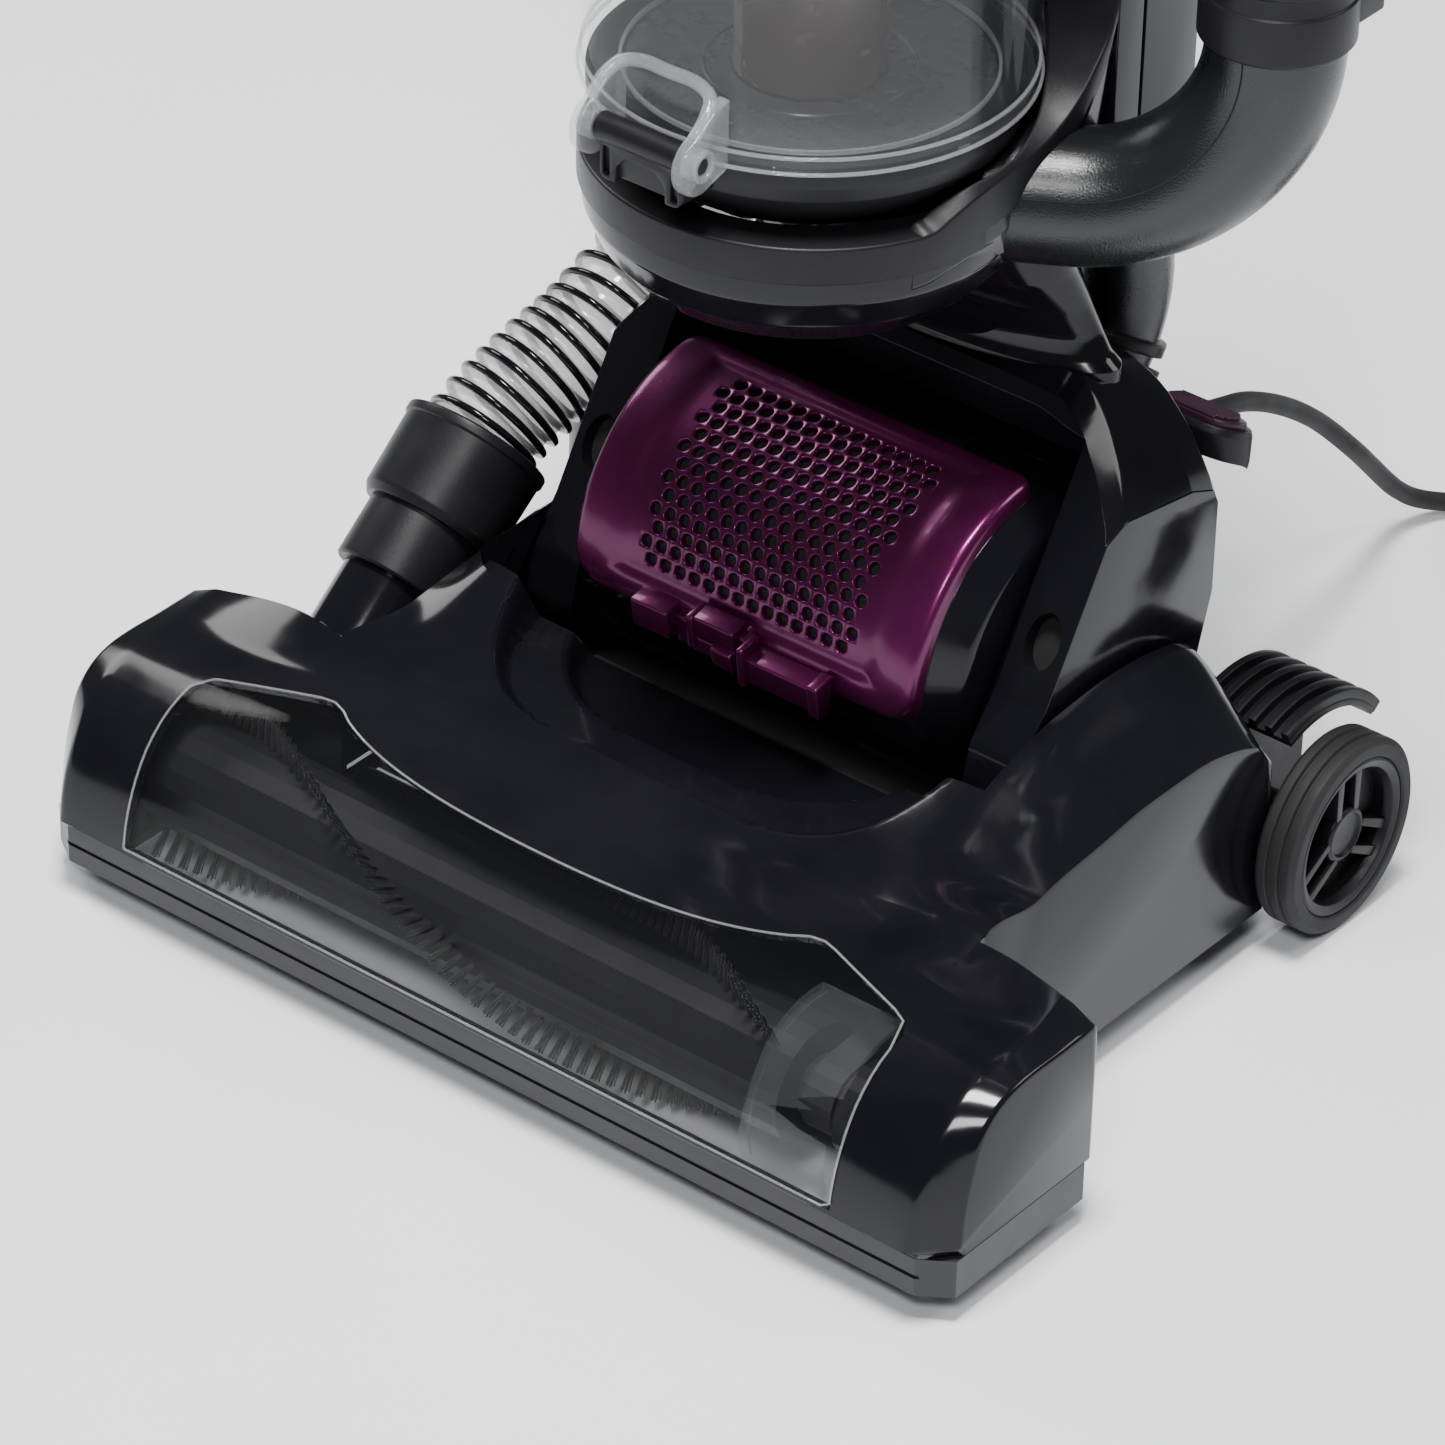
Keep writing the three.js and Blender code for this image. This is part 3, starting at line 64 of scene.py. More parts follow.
def make_camera():
    data = bpy.data.cameras.new("camera")
    data.lens = CAMERA["lens"]
    data.sensor_width = CAMERA["sensor"]
    data.shift_x, data.shift_y = CAMERA["shift"]
    data.clip_start, data.clip_end = CAMERA["near"], CAMERA["far"]
    camera = new_object("camera", data)
    azimuth, down, roll = [radians(CAMERA[key]) for key in ("azimuth", "down", "roll")]
    back = Vector((sin(azimuth) * cos(down), -cos(azimuth) * cos(down), sin(down)))
    right = (-back).cross(Vector((0, 0, 1))).normalized()
    up = right.cross(-back)
    cos_roll, sin_roll = cos(roll), sin(roll)
    rolled_right = right * cos_roll + up * sin_roll
    rolled_up = up * cos_roll - right * sin_roll
    turn = Matrix((rolled_right, rolled_up, back)).transposed().to_4x4()
    camera.matrix_world = Matrix.Translation(at(*CAMERA["place"])) @ turn
    bpy.context.scene.camera = camera


# ------------------------------------------------------------------ materials
CLOUD_RANGE = (0.3, 0.7)


def set_inputs(node, inputs):
    for key, value in inputs.items():
        node.inputs[key].default_value = value


def new_material(name):
    material = bpy.data.materials.new(name)
    material.use_nodes = True
    tree = material.node_tree
    return material, tree, tree.nodes["Principled BSDF"]


def add_node(tree, kind, inputs, source=None, into="Vector"):
    """A node with its inputs set and, where a source is given, that source linked into it."""
    node = tree.nodes.new("ShaderNode" + kind)
    set_inputs(node, inputs)
    if source:
        tree.links.new(source, node.inputs[into])
    return node


def noise(tree, scale, detail, rough):
    place = add_node(tree, "TexCoord", {}).outputs["Object"]
    return add_node(tree, "TexNoise", {"Scale": scale, "Detail": detail, "Roughness": rough},
        place).outputs["Fac"]


def vary_gloss(tree, shader, source, low, high):
    limits = {"From Min": CLOUD_RANGE[0], "From Max": CLOUD_RANGE[1], "To Min": low, "To Max": high}
    spread = add_node(tree, "MapRange", limits, source, "Value")
    tree.links.new(spread.outputs["Result"], shader.inputs["Roughness"])


def tint(tree, shader, source, dark, light):
    ramp = add_node(tree, "ValToRGB", {}, source, "Fac")
    for element, place, colour in zip(ramp.color_ramp.elements, CLOUD_RANGE, (dark, light)):
        element.position = place
        element.color = (*colour, 1)
    tree.links.new(ramp.outputs["Color"], shader.inputs["Base Color"])


def plastic(name, dark, light, rough, grain_mm, depth_mm, metallic=0.0, coat=0.0, coat_rough=0.05,
        shine=0.35):
    """Moulded plastic: cloudy colour, uneven gloss and a fine grain of the given size."""
    material, tree, shader = new_material(name)
    tint(tree, shader, noise(tree, 22.0, 4.0, 0.6), dark, light)
    vary_gloss(tree, shader, noise(tree, 60.0, 5.0, 0.65), *rough)
    grain = noise(tree, 1000.0 / grain_mm, 2.0, 0.5)
    relief = add_node(tree, "Bump", {"Strength": 1.0, "Distance": depth_mm * MM}, grain, "Height")
    tree.links.new(relief.outputs["Normal"], shader.inputs["Normal"])
    set_inputs(shader, {"Metallic": metallic, "Specular IOR Level": shine, "Coat Weight": coat,
        "Coat Roughness": coat_rough})
    return material


def clear_plastic(name, colour, alpha, index, rough):
    """Thin clear plastic: each face lets most light straight through and keeps a lightly scuffed shine."""
    material, tree, shader = new_material(name)
    tint(tree, shader, noise(tree, 30.0, 4.0, 0.6), [c * 0.9 for c in colour], colour)
    vary_gloss(tree, shader, noise(tree, 45.0, 5.0, 0.65), rough, rough * 2.2)
    set_inputs(shader, {"IOR": index, "Specular IOR Level": 0.5, "Alpha": alpha})
    return material


GLOSS = plastic("gloss_black", (0.004, 0.004, 0.006), (0.007, 0.007, 0.009), (0.09, 0.16), 60, 0.05,
    coat=0.05, shine=0.26)
SATIN = plastic("satin_black", (0.006, 0.006, 0.0075), (0.010, 0.010, 0.012), (0.34, 0.46), 0.9, 0.03,
    shine=0.24)
TEXTURED = plastic("textured_black", (0.005, 0.006, 0.007), (0.010, 0.011, 0.013), (0.22, 0.30), 0.55,
    0.09, shine=0.5)
LIP_GREY = plastic("lip_grey", (0.02, 0.02, 0.022), (0.03, 0.03, 0.032), (0.3, 0.42), 0.8, 0.03)
PURPLE = plastic("purple", (0.085, 0.004, 0.05), (0.12, 0.008, 0.075), (0.26, 0.34), 0.5, 0.02,
    metallic=0.7, coat=0.4, coat_rough=0.1)
RUBBER = plastic("rubber", (0.010, 0.010, 0.011), (0.018, 0.018, 0.019), (0.6, 0.75), 0.6, 0.05)
STEEL = plastic("steel", (0.5, 0.5, 0.51), (0.62, 0.62, 0.63), (0.22, 0.36), 0.5, 0.02, 1.0)
SMOKE = plastic("smoke_brown", (0.050, 0.034, 0.026), (0.072, 0.050, 0.038), (0.18, 0.3), 30, 0.03)
FOAM = plastic("foam", (0.5, 0.48, 0.44), (0.62, 0.6, 0.55), (0.85, 0.95), 0.9, 0.4)
MAT = plastic("filter_mat", (0.010, 0.009, 0.012), (0.02, 0.018, 0.022), (0.8, 0.9), 0.5, 0.3)
BRISTLE = plastic("bristle", (0.008, 0.008, 0.009), (0.016, 0.016, 0.017), (0.5, 0.6), 0.4, 0.05)
CLEAR = clear_plastic("clear", (0.16, 0.165, 0.175), 0.10, 2.3, 0.03)
HOSE_CLEAR = clear_plastic("hose_clear", (0.66, 0.66, 0.65), 0.55, 1.9, 0.1)
CLEAR_EDGE = clear_plastic("clear_edge", (0.50, 0.51, 0.53), 0.26, 2.0, 0.04)
WINDOW_CLEAR = clear_plastic("window_clear", (0.05, 0.052, 0.056), 0.05, 2.4, 0.03)
DOOR_GREY = plastic("door_grey", (0.035, 0.036, 0.038), (0.05, 0.051, 0.053), (0.22, 0.34), 1.0, 0.02)
PEDAL_PURPLE = plastic("pedal_purple", (0.02, 0.006, 0.016), (0.034, 0.01, 0.026), (0.35, 0.45), 0.8, 0.03)
# Matte near-black: painted shade inside the drum's well, on the pits' floors and for the shroud's holes, and
# the colour of the elbow's real dark parting line.
SHADE_AND_SEAM = plastic("painted_shade_and_seam", (0.004, 0.004, 0.004), (0.007, 0.007, 0.007), (0.8, 0.9), 0.5, 0.02)

# The looks of the solids that are shown as they are.
PLAIN_LOOKS = [(LIP_GREY, "base_plate"), (PURPLE, "power_switch"), (FOAM, "premotor_filter"),
    (MAT, "exhaust_filter"), (CLEAR, "belt_shield"), (RUBBER, "drive_belt cord_gland plug"),
    (SATIN, "brush_core cord_hook crevice_tool roller_left roller_right bearing_left bearing_right"),
    (SATIN, "cuff_latch door_latch bin_button"),
    (STEEL, "axle_left axle_right brush_motor drive_pulley motor motor_shaft")]
for look, plain in PLAIN_LOOKS:
    for plain_name in plain.split():
        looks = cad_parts[plain_name].data.materials
        looks.clear()
        looks.append(look)


# ------------------------------------------------------------------ shape tools
def mix(a, b, t):
    return a + (b - a) * t


def smoothstep(t):
    t = min(max(t, 0.0), 1.0)
    return t * t * (3 - 2 * t)


def circle(count):
    return [2 * pi * k / count for k in range(count)]


def place_of(point):
    """A point of the frame in millimetres, measured as at() takes it."""
    return point.x / MM, point.y / MM + ORIGIN_Y, point.z / MM


def smooth_through(xs, ys):
    """A smooth curve through the points that doesn't overshoot them."""
    steps = [b - a for a, b in zip(xs, xs[1:])]
    rises = [(b - a) / step for a, b, step in zip(ys, ys[1:], steps)]
    slopes = [rises[0]]
    for i in range(1, len(steps)):
        a, b = 2 * steps[i] + steps[i - 1], steps[i] + 2 * steps[i - 1]
        flat = rises[i - 1] * rises[i] <= 0
        slopes.append(0.0 if flat else (a + b) / (a / rises[i - 1] + b / rises[i]))
    slopes.append(rises[-1])

    def value(x):
        x = min(max(x, xs[0]), xs[-1])
        i = max(k for k in range(len(xs) - 1) if xs[k] <= x) if x > xs[0] else 0
        h = xs[i + 1] - xs[i]
        t = (x - xs[i]) / h
        return (ys[i] * (1 + 2 * t) * (1 - t) ** 2 + slopes[i] * h * t * (1 - t) ** 2
            + ys[i + 1] * t * t * (3 - 2 * t) + slopes[i + 1] * h * t * t * (t - 1))

    return value


def spline(points, per_span, closed=False):
    """Centripetal Catmull-Rom curve through the points, per_span steps between two of them."""
    points = [Vector(p) for p in points]
    count = len(points)
    result = []

    def part(p, q, start, end, t):
        return p * ((end - t) / (end - start)) + q * ((t - start) / (end - start))

    for i in range(count if closed else count - 1):
        p1, p2 = points[i], points[(i + 1) % count]
        p0 = points[(i - 1) % count] if closed or i > 0 else p1 + (p1 - p2)
        p3 = points[(i + 2) % count] if closed or i + 2 < count else p2 + (p2 - p1)
        knots = [0.0]
        for a, b in ((p0, p1), (p1, p2), (p2, p3)):
            knots.append(knots[-1] + max((b - a).length, 1e-9) ** 0.5)
        t0, t1, t2, t3 = knots
        for k in range(per_span):
            t = t1 + (t2 - t1) * k / per_span
            a1, a2, a3 = part(p0, p1, t0, t1, t), part(p1, p2, t1, t2, t), part(p2, p3, t2, t3, t)
            result.append(part(part(a1, a2, t0, t2, t), part(a2, a3, t1, t3, t), t1, t2, t))
    return result if closed else result + [points[-1]]


def rounded(corners, steps=4, closed=True):
    """A polyline with rounded (u, v, radius) corners; only they decide the count of points."""
    count = len(corners)
    result = []
    for i, corner in enumerate(corners):
        here = Vector(corner[:2])
        radius = corner[2] if len(corner) > 2 else 0.0
        if radius <= 0 or (not closed and i in (0, count - 1)):
            result.append(here)
            continue
        before = Vector(corners[i - 1][:2]) - here
        after = Vector(corners[(i + 1) % count][:2]) - here
        if min(before.length, after.length) < 1e-6:
            result.extend([here] * (steps + 1))
            continue
        reach = min(radius / tan(before.angle(after) / 2), before.length * 0.49, after.length * 0.49)
        start, end = here + before.normalized() * reach, here + after.normalized() * reach
        for k in range(steps + 1):
            t = k / steps
            result.append(start * (1 - t) ** 2 + here * (2 * t * (1 - t)) + end * t * t)
    return result


AXIS = 0.05  # a profile that closes on its own axis stops this close to it


def rect(u0, u1, v0, v1, low=0.0, high=None):
    """The four corners of a rectangle; low is the fillet at v0 and high the one at v1."""
    high = low if high is None else high
    return [(u0, v0, low), (u1, v0, low), (u1, v1, high), (u0, v1, high)]


def rod(radius, start, end, low=0.0, high=None):
    """The profile of a solid round bar, with a fillet round each end."""
    return [(AXIS, start), (radius, start, low), (radius, end, low if high is None else high), (AXIS, end)]


def new_object(name, data):
    obj = bpy.data.objects.new(name, data)
    bpy.context.scene.collection.objects.link(obj)
    return obj


def smooth(obj, sharp):
    obj.data.shade_smooth()
    obj.data.set_sharp_from_angle(angle=radians(sharp))
    return obj


def weld(obj, sharp):
    """Joins points that meet, turns the faces outwards and shades them."""
    shell = bmesh.new()
    shell.from_mesh(obj.data)
    bmesh.ops.remove_doubles(shell, verts=shell.verts, dist=1e-6)
    bmesh.ops.recalc_face_normals(shell, faces=shell.faces)
    shell.to_mesh(obj.data)
    shell.free()
    return smooth(obj, sharp)


def add_mesh(name, points, faces, material, sharp=35):
    mesh = bpy.data.meshes.new(name)
    mesh.from_pydata([tuple(p) for p in points], [], faces)
    mesh.materials.append(material)
    return weld(new_object(name, mesh), sharp)


def skin(name, rows, material, wrap=True, caps=True, sharp=35):
    """Quads between rows of equal length; wrap joins each row's ends, caps close the first and last."""
    count = len(rows[0])
    faces = []
    for r in range(0, (len(rows) - 1) * count, count):
        for i in range(count if wrap else count - 1):
            j = (i + 1) % count
            faces.append((r + i, r + j, r + count + j, r + count + i))
    if caps:
        faces += [tuple(range(start, start + count)) for start in (0, (len(rows) - 1) * count)]
    return add_mesh(name, [p for row in rows for p in row], faces, material, sharp)


def sheet(name, rows, material=None):
    """An open skin over rows of places in millimetres."""
    return skin(name, [[at(*p) for p in row] for row in rows], material or GLOSS, wrap=False, caps=False)


def lathe(name, profile, centre, material, axis="z", segments=96, sharp=35):
    """Turns a profile of (radius, height, fillet) corners about an axis through centre."""
    outline = rounded(profile)
    cx, cy, cz = centre
    rows = []
    for a in circle(segments):
        c, s = cos(a), sin(a)
        if axis == "z":
            rows.append([at(cx + p.x * c, cy + p.x * s, cz + p.y) for p in outline])
        else:
            rows.append([at(cx + p.y, cy + p.x * c, cz + p.x * s) for p in outline])
    return skin(name, rows + rows[:1], material, caps=False, sharp=sharp)


def frames_along(path):
    """Unit tangents and two turning-free normals at each point of a path."""
    ends = zip(path[:1] + path[:-1], path[1:] + path[-1:])
    tangents = [(b - a).normalized() for a, b in ends]
    side = tangents[0].orthogonal().normalized()
    result = []
    for tangent in tangents:
        side = (side - tangent * side.dot(tangent)).normalized()
        result.append((tangent, side, tangent.cross(side)))
    return result


def ring(centre, u, v, radius, sides):
    """Places round a centre in metres, in the plane of u and v; the radius is in millimetres."""
    return [centre + (u * cos(a) + v * sin(a)) * (radius * MM) for a in circle(sides)]


def tube(name, path, radius, material, sides=24, caps=True):
    rows = [ring(p, u, v, radius, sides) for p, (_, u, v) in zip(path, frames_along(path))]
    return skin(name, rows, material, caps=caps)


def plate(name, outline, plane, low, high, material, edge=0.6):
    """An outline of (u, v, fillet) corners thickened from low to high: plane x holds y, z; y x, z; z x, y."""
    flat = rounded(outline, 5)
    place = {"x": lambda u, v, w: at(w, u, v), "y": lambda u, v, w: at(u, w, v), "z": at}[plane]
    obj = skin(name, [[place(p.x, p.y, w) for p in flat] for w in (low, high)], material)
    return soften(obj, edge, 3) if edge else obj


def modify(obj, kind, **settings):
    modifier = obj.modifiers.new(kind.lower(), kind)
    for key, value in settings.items():
        setattr(modifier, key, value)
    bpy.context.view_layer.objects.active = obj
    with bpy.context.temp_override(object=obj, active_object=obj, selected_objects=[obj]):
        bpy.ops.object.modifier_apply(modifier=modifier.name)


def soften(obj, width, segments, angle=30):
    modify(obj, "BEVEL", width=width * MM, segments=segments, limit_method="ANGLE",
        angle_limit=radians(angle), use_clamp_overlap=True)
    return smooth(obj, 35)


def thicken(obj, wall, sharp=35):
    modify(obj, "SOLIDIFY", thickness=wall * MM, offset=-1, use_even_offset=False)
    return smooth(obj, sharp)


def carve(obj, tools, sharp=35):
    for tool in tools:
        modify(obj, "BOOLEAN", operation="DIFFERENCE", solver="EXACT", object=tool)
        bpy.data.objects.remove(tool)
    return smooth(obj, sharp)


def merge(name, pieces):
    """Several meshes as one object, without cutting them into each other."""
    shell = bmesh.new()
    materials = []
    for piece in pieces:
        start = len(shell.faces)
        shell.from_mesh(piece.data)
        shell.faces.ensure_lookup_table()
        own = piece.data.materials
        for face in shell.faces[start:]:
            material = own[face.material_index if len(own) > 1 else 0]
            if material not in materials:
                materials.append(material)
            face.material_index = materials.index(material)
    mesh = bpy.data.meshes.new(name)
    shell.to_mesh(mesh)
    shell.free()
    for material in materials:
        mesh.materials.append(material)
    for piece in pieces:
        bpy.data.objects.remove(piece)
    return new_object(name, mesh)


def takes_place(obj, node, *others):
    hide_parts(node, *others)


def stands_for(obj, body, node):
    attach(obj, body)
    takes_place(obj, node)


make_camera()


# ------------------------------------------------------------------ floor head
HEAD_HALF = 162.5
WING_X = 123.3
NOTCH_X = -105
PARTING_Z = 20.5
WALL = 2.4
BARREL_MID = [(-4, 24), (-3.4, 31), (-1.4, 39), (2, 48), (7, 56), (14, 62.6), (24, 67.2), (36, 69.8),
    (50, 70.4)]
BARREL_SHOULDER = [(-4, 24), (-3, 31), (-1, 38.5), (3, 47.5), (8, 55), (16, 62), (25, 65.8), (37, 67.4),
    (50, 67.6)]
FRONT_Y = 64  # where the barrel ends and the deck begins
BARREL_END = [(8, 23), (8.4, 30), (9.6, 38), (12, 47), (15.5, 56), (21, 61.4), (28, 64.2), (38, 65),
    (50, 64.6)]
SHOULDER_X = 153
DECK_Y = (64, 82, 100, 118, 140, 164, 184, 198, 204)
DECK = {0: (70.4, 71.6, 74, 78, 84, 88, 86, 80, 72),
    62: (70.6, 73.6, 78.4, 84, 89.6, 92, 89, 82, 74),
    90: (70.4, 75, 81.6, 88, 92.8, 94, 91.4, 86, 78),
    107: (69.2, 73.2, 78.6, 82.6, 86, 86.4, 83.4, 77.6, 70),
    WING_X: (67.4, 71.4, 75, 76.4, 78.4, 78, 75, 69, 62)}
DECK_REAR = {0: 204, 90: 208, WING_X: 199.6}
DECK_FLOOR = 12
NOTCH_EDGE = [(64, -105), (82, -101), (104, -97), (140, -93), (166, -92.4), (176, -97), (183, -118),
    (186, -WING_X), (208, -WING_X)]
NOTCH_FLOOR = 47
SCOOP = {"half_front": 38, "half_rear": 78, "front": 71, "rear": 132, "shelf": 68, "low": 62, "inset": 16,
    "near_y": 68, "far_y": 150, "side": 90}
WINDOW_HALF = 127.6
WINDOW_LOW = 15.4
WINDOW_REAR = 52
WINDOW_FOOT = 21


def bezier(p, q, r, s, t):
    return [a * (1 - t) ** 3 + 3 * b * t * (1 - t) ** 2 + 3 * c * t * t * (1 - t) + d * t ** 3
        for a, b, c, d in zip(p, q, r, s)]


def window_top_curve():
    """Upper edge of the window from the middle outwards: distance from the middle, height up the slope."""
    points = [bezier((0, 66.4), (32, 66.4), (60, 68.4), (80, 76.8), k / 20) for k in range(20)]
    points += [bezier((80, 76.8), (84, 79.5), (88, 80.1), (92, 78.8), k / 8) for k in range(8)]
    points += [(92 + 3.7 * k, 78.8 - 1.025 * k) for k in range(8)]
    points += [bezier((121.6, 70.6), (125.6, 69.3), (127.6, 66.6), (127.6, 62.6), k / 8) for k in range(9)]
    return points


WINDOW_TOP = window_top_curve()


def window_top(x):
    x = min(abs(x), WINDOW_HALF - 1e-6)
    for (x0, v0), (x1, v1) in zip(WINDOW_TOP, WINDOW_TOP[1:]):
        if x0 <= x <= x1 and x1 > x0:
            return v0 + (v1 - v0) * (x - x0) / (x1 - x0)
    return WINDOW_TOP[-1][1]


def barrel_loop(x):
    """Front and top of the barrel at a distance from the middle, as (y, z) corners."""
    x = abs(x)
    over = x - SHOULDER_X
    ramp = (over + sqrt(over * over + 1.4)) / 2 / (HEAD_HALF - SHOULDER_X)
    ease = smoothstep((x - 90) / (SHOULDER_X - 90))
    loop = []
    for mid, shoulder, end in zip(BARREL_MID, BARREL_SHOULDER, BARREL_END):
        side = [mix(a, b, ease) for a, b in zip(mid, shoulder)]
        loop.append([mix(a, b, ramp) for a, b in zip(side, end)])
    return loop


def barrel_curve(x):
    return spline([(y, z, 0) for y, z in barrel_loop(x)], 10)


def along_slope(curve, value):
    """The point of a barrel curve whose height up the 45 degree slope has the given value."""
    for p, q in zip(curve, curve[1:]):
        a, b = (p.x + p.y) / sqrt(2), (q.x + q.y) / sqrt(2)
        if a <= value <= b:
            return p.lerp(q, (value - a) / max(b - a, 1e-9))
    return curve[0] if value < (curve[0].x + curve[0].y) / sqrt(2) else curve[-1]


def barrel_section(x, top_z):
    """Front profile: foot, up to the window, the window's height, then over the top to the deck."""
    curve = barrel_curve(x)
    low, high = WINDOW_LOW, window_top(x)
    end = (50 + curve[-1].y) / sqrt(2)
    foot_y = mix(0, 9, smoothstep((abs(x) - SHOULDER_X) / (HEAD_HALF - SHOULDER_X)))
    points = [Vector((foot_y, PARTING_Z, 0)), Vector((foot_y - 0.2, PARTING_Z + 0.6, 0))]
    points += [curve[0].lerp(points[1], 0.12)]
    points += [along_slope(curve, mix(14.4, low, k / 2)) for k in range(2)]
    points += [along_slope(curve, mix(low, high, k / 34)) for k in range(34)]
    points += [along_slope(curve, mix(high, end, k / 8)) for k in range(9)]
    points.append(Vector((57, mix(curve[-1].y, top_z, 0.5), 0)))
    return [(p.x, p.y) for p in points]


FIRST_WINDOW, LAST_WINDOW = 5, 39
deck_heights = [smooth_through(list(DECK), [DECK[x][i] for x in DECK]) for i in range(len(DECK_Y))]
deck_rear = smooth_through(list(DECK_REAR), list(DECK_REAR.values()))
notch_edge = smooth_through([y for y, _ in NOTCH_EDGE], [x for _, x in NOTCH_EDGE])


def scoop_outline(inset):
    wide, narrow, front = SCOOP["half_rear"] - inset, SCOOP["half_front"] - inset, SCOOP["front"] + inset
    side = [bezier((wide, SCOOP["rear"]), (wide - 2, front + 22), (narrow + 26, front),
        (narrow - 10, front), k / 24) for k in range(25)]
    side[0] = (side[0][0], side[0][1] + 20)
    return side + [(-x, y) for x, y in reversed(side)]


SCOOP_OUTER, SCOOP_INNER = scoop_outline(0), scoop_outline(SCOOP["inset"])


def depth_inside(outline, x, y):
    """Distance inside an outline that is open towards the rear; negative outside it."""
    best, inside = 1e9, False
    for (x0, y0), (x1, y1) in zip(outline, outline[1:] + outline[:1]):
        if (y0 > y) != (y1 > y) and x < x0 + (x1 - x0) * (y - y0) / (y1 - y0):
            inside = not inside
        if (x1, y1) == outline[0]:
            continue
        dx, dy = x1 - x0, y1 - y0
        t = min(max(((x - x0) * dx + (y - y0) * dy) / (dx * dx + dy * dy), 0), 1)
        best = min(best, hypot(x - x0 - dx * t, y - y0 - dy * t))
    return best if inside else -best


def scooped(x, y, z):
    if y < SCOOP["near_y"] or y > SCOOP["far_y"] or abs(x) > SCOOP["side"]:
        return z
    outer = depth_inside(SCOOP_OUTER, x, y)
    shelf = SCOOP["shelf"] + 0.05 * (y - 80)
    wide = 2.6 + 0.3 * max(z - shelf, 0)
    z = mix(z, min(z, shelf), smoothstep((outer + wide * 0.35) / wide))
    inner = depth_inside(SCOOP_INNER, x, y)
    return mix(z, min(z, SCOOP["low"]), smoothstep((inner + 2.2) / 4.4))


def deck_profile(x):
    """Height of the deck over depth at a distance from the middle, as evenly smooth (y, z) pairs."""
    rear = deck_rear(abs(x))
    heights = [h(abs(x)) for h in deck_heights]
    ys = [y if i < 6 else rear - (DECK_Y[-1] - y) for i, y in enumerate(DECK_Y)]
    curve = smooth_through(ys, heights)
    steps = [64 + 1.5 * k for k in range(36)] + [118 + 3.5 * k for k in range(14)]
    steps += [mix(167, rear, (k + 1) / 14) for k in range(14)]
    return [(y, curve(y)) for y in steps]


def deck_point(s, y, z):
    x = s
    if s < -75:
        x = -75 + (s + 75) / (NOTCH_X + 75) * (notch_edge(y) + 75)
    return (x, y, scooped(x, y, z))


WELL = {"half": 88.8, "radius": 57, "floor": 24, "y": 165, "z": 94, "mouth": 112, "lip": 62}


def sink_well(points):
    """Lets the deck fall along the round wall of the well that the motor drum turns in."""
    result, entry = [], None
    for x, y, z in points:
        beyond = hypot(y - WELL["y"], z - WELL["z"]) > WELL["radius"]
        if abs(x) > WELL["half"] or (y < WELL["y"] and beyond):
            result.append((x, y, z))
            continue
        if y > WELL["y"]:
            result.append((x, y, WELL["floor"]))
            continue
        entry = entry or (y, pi + asin((WELL["z"] - z) / WELL["radius"]))
        angle = mix(entry[1], 1.5 * pi, (y - entry[0]) / (WELL["y"] - entry[0]))
        result.append((x, WELL["y"] + WELL["radius"] * cos(angle), WELL["z"] + WELL["radius"] * sin(angle)))
    return result


def main_row(s):
    profile = deck_profile(s)
    front = barrel_section(s, profile[0][1])
    row = [(s, y, z) for y, z in front] + sink_well([deck_point(s, y, z) for y, z in profile])
    x, y, z = row[-1]
    return row + [(x, y + 0.6, z - 3), (x, y + 0.6, mix(z, DECK_FLOOR, 0.5)), (x, y + 0.6, DECK_FLOOR)]


FRONT_COUNT = len(barrel_section(0, 70))


def head_rows():
    xs = [NOTCH_X + 1.5 * k for k in range(151)] + [121.4, 122.3, 122.9]
    rows = [main_row(x) for x in xs]
    edge = main_row(WING_X)
    rows.append([(x, y, z - (0 if i < FRONT_COUNT + 2 else 0.9)) for i, (x, y, z) in enumerate(edge)])
    return rows


def end_rows(side, start, first):
    """Barrel end outside the deck: rows of the front profile and rear wall, then the end face."""
    xs = [start] + [x for x in [start + 2 * k for k in range(1, 40)] if x < 151.5]
    xs += [151.8, 152.4, 153, 153.6, 154.2, 155, 156.5, 158, 159.5, 161, 161.7]
    rows = []
    for k, x in enumerate(xs):
        fold = smoothstep((x - start) / 26)
        top = first if k == 0 else mix(first, barrel_curve(x)[-1].y - 0.2, fold)
        row = barrel_section(side * x, top) + [(64, top), (65.4, top - 1.2), (65.8, top - 4), (65.8, 40),
            (65.8, PARTING_Z)]
        rows.append([(side * x, y, z) for y, z in row])
    centre_y, centre_z = 36, 42  # the end face closes towards here
    last = rows[-1]
    for x, inset in ((162.2, 0.5), (HEAD_HALF, 1.5)):
        rows.append([(side * x, mix(y, centre_y, inset / 30),
            mix(z, centre_z, inset / 26) if z > PARTING_Z else z) for _, y, z in last])
    return rows


def face_of(name, places):
    return add_mesh(name, [at(*p) for p in places], [tuple(range(len(places)))], GLOSS)


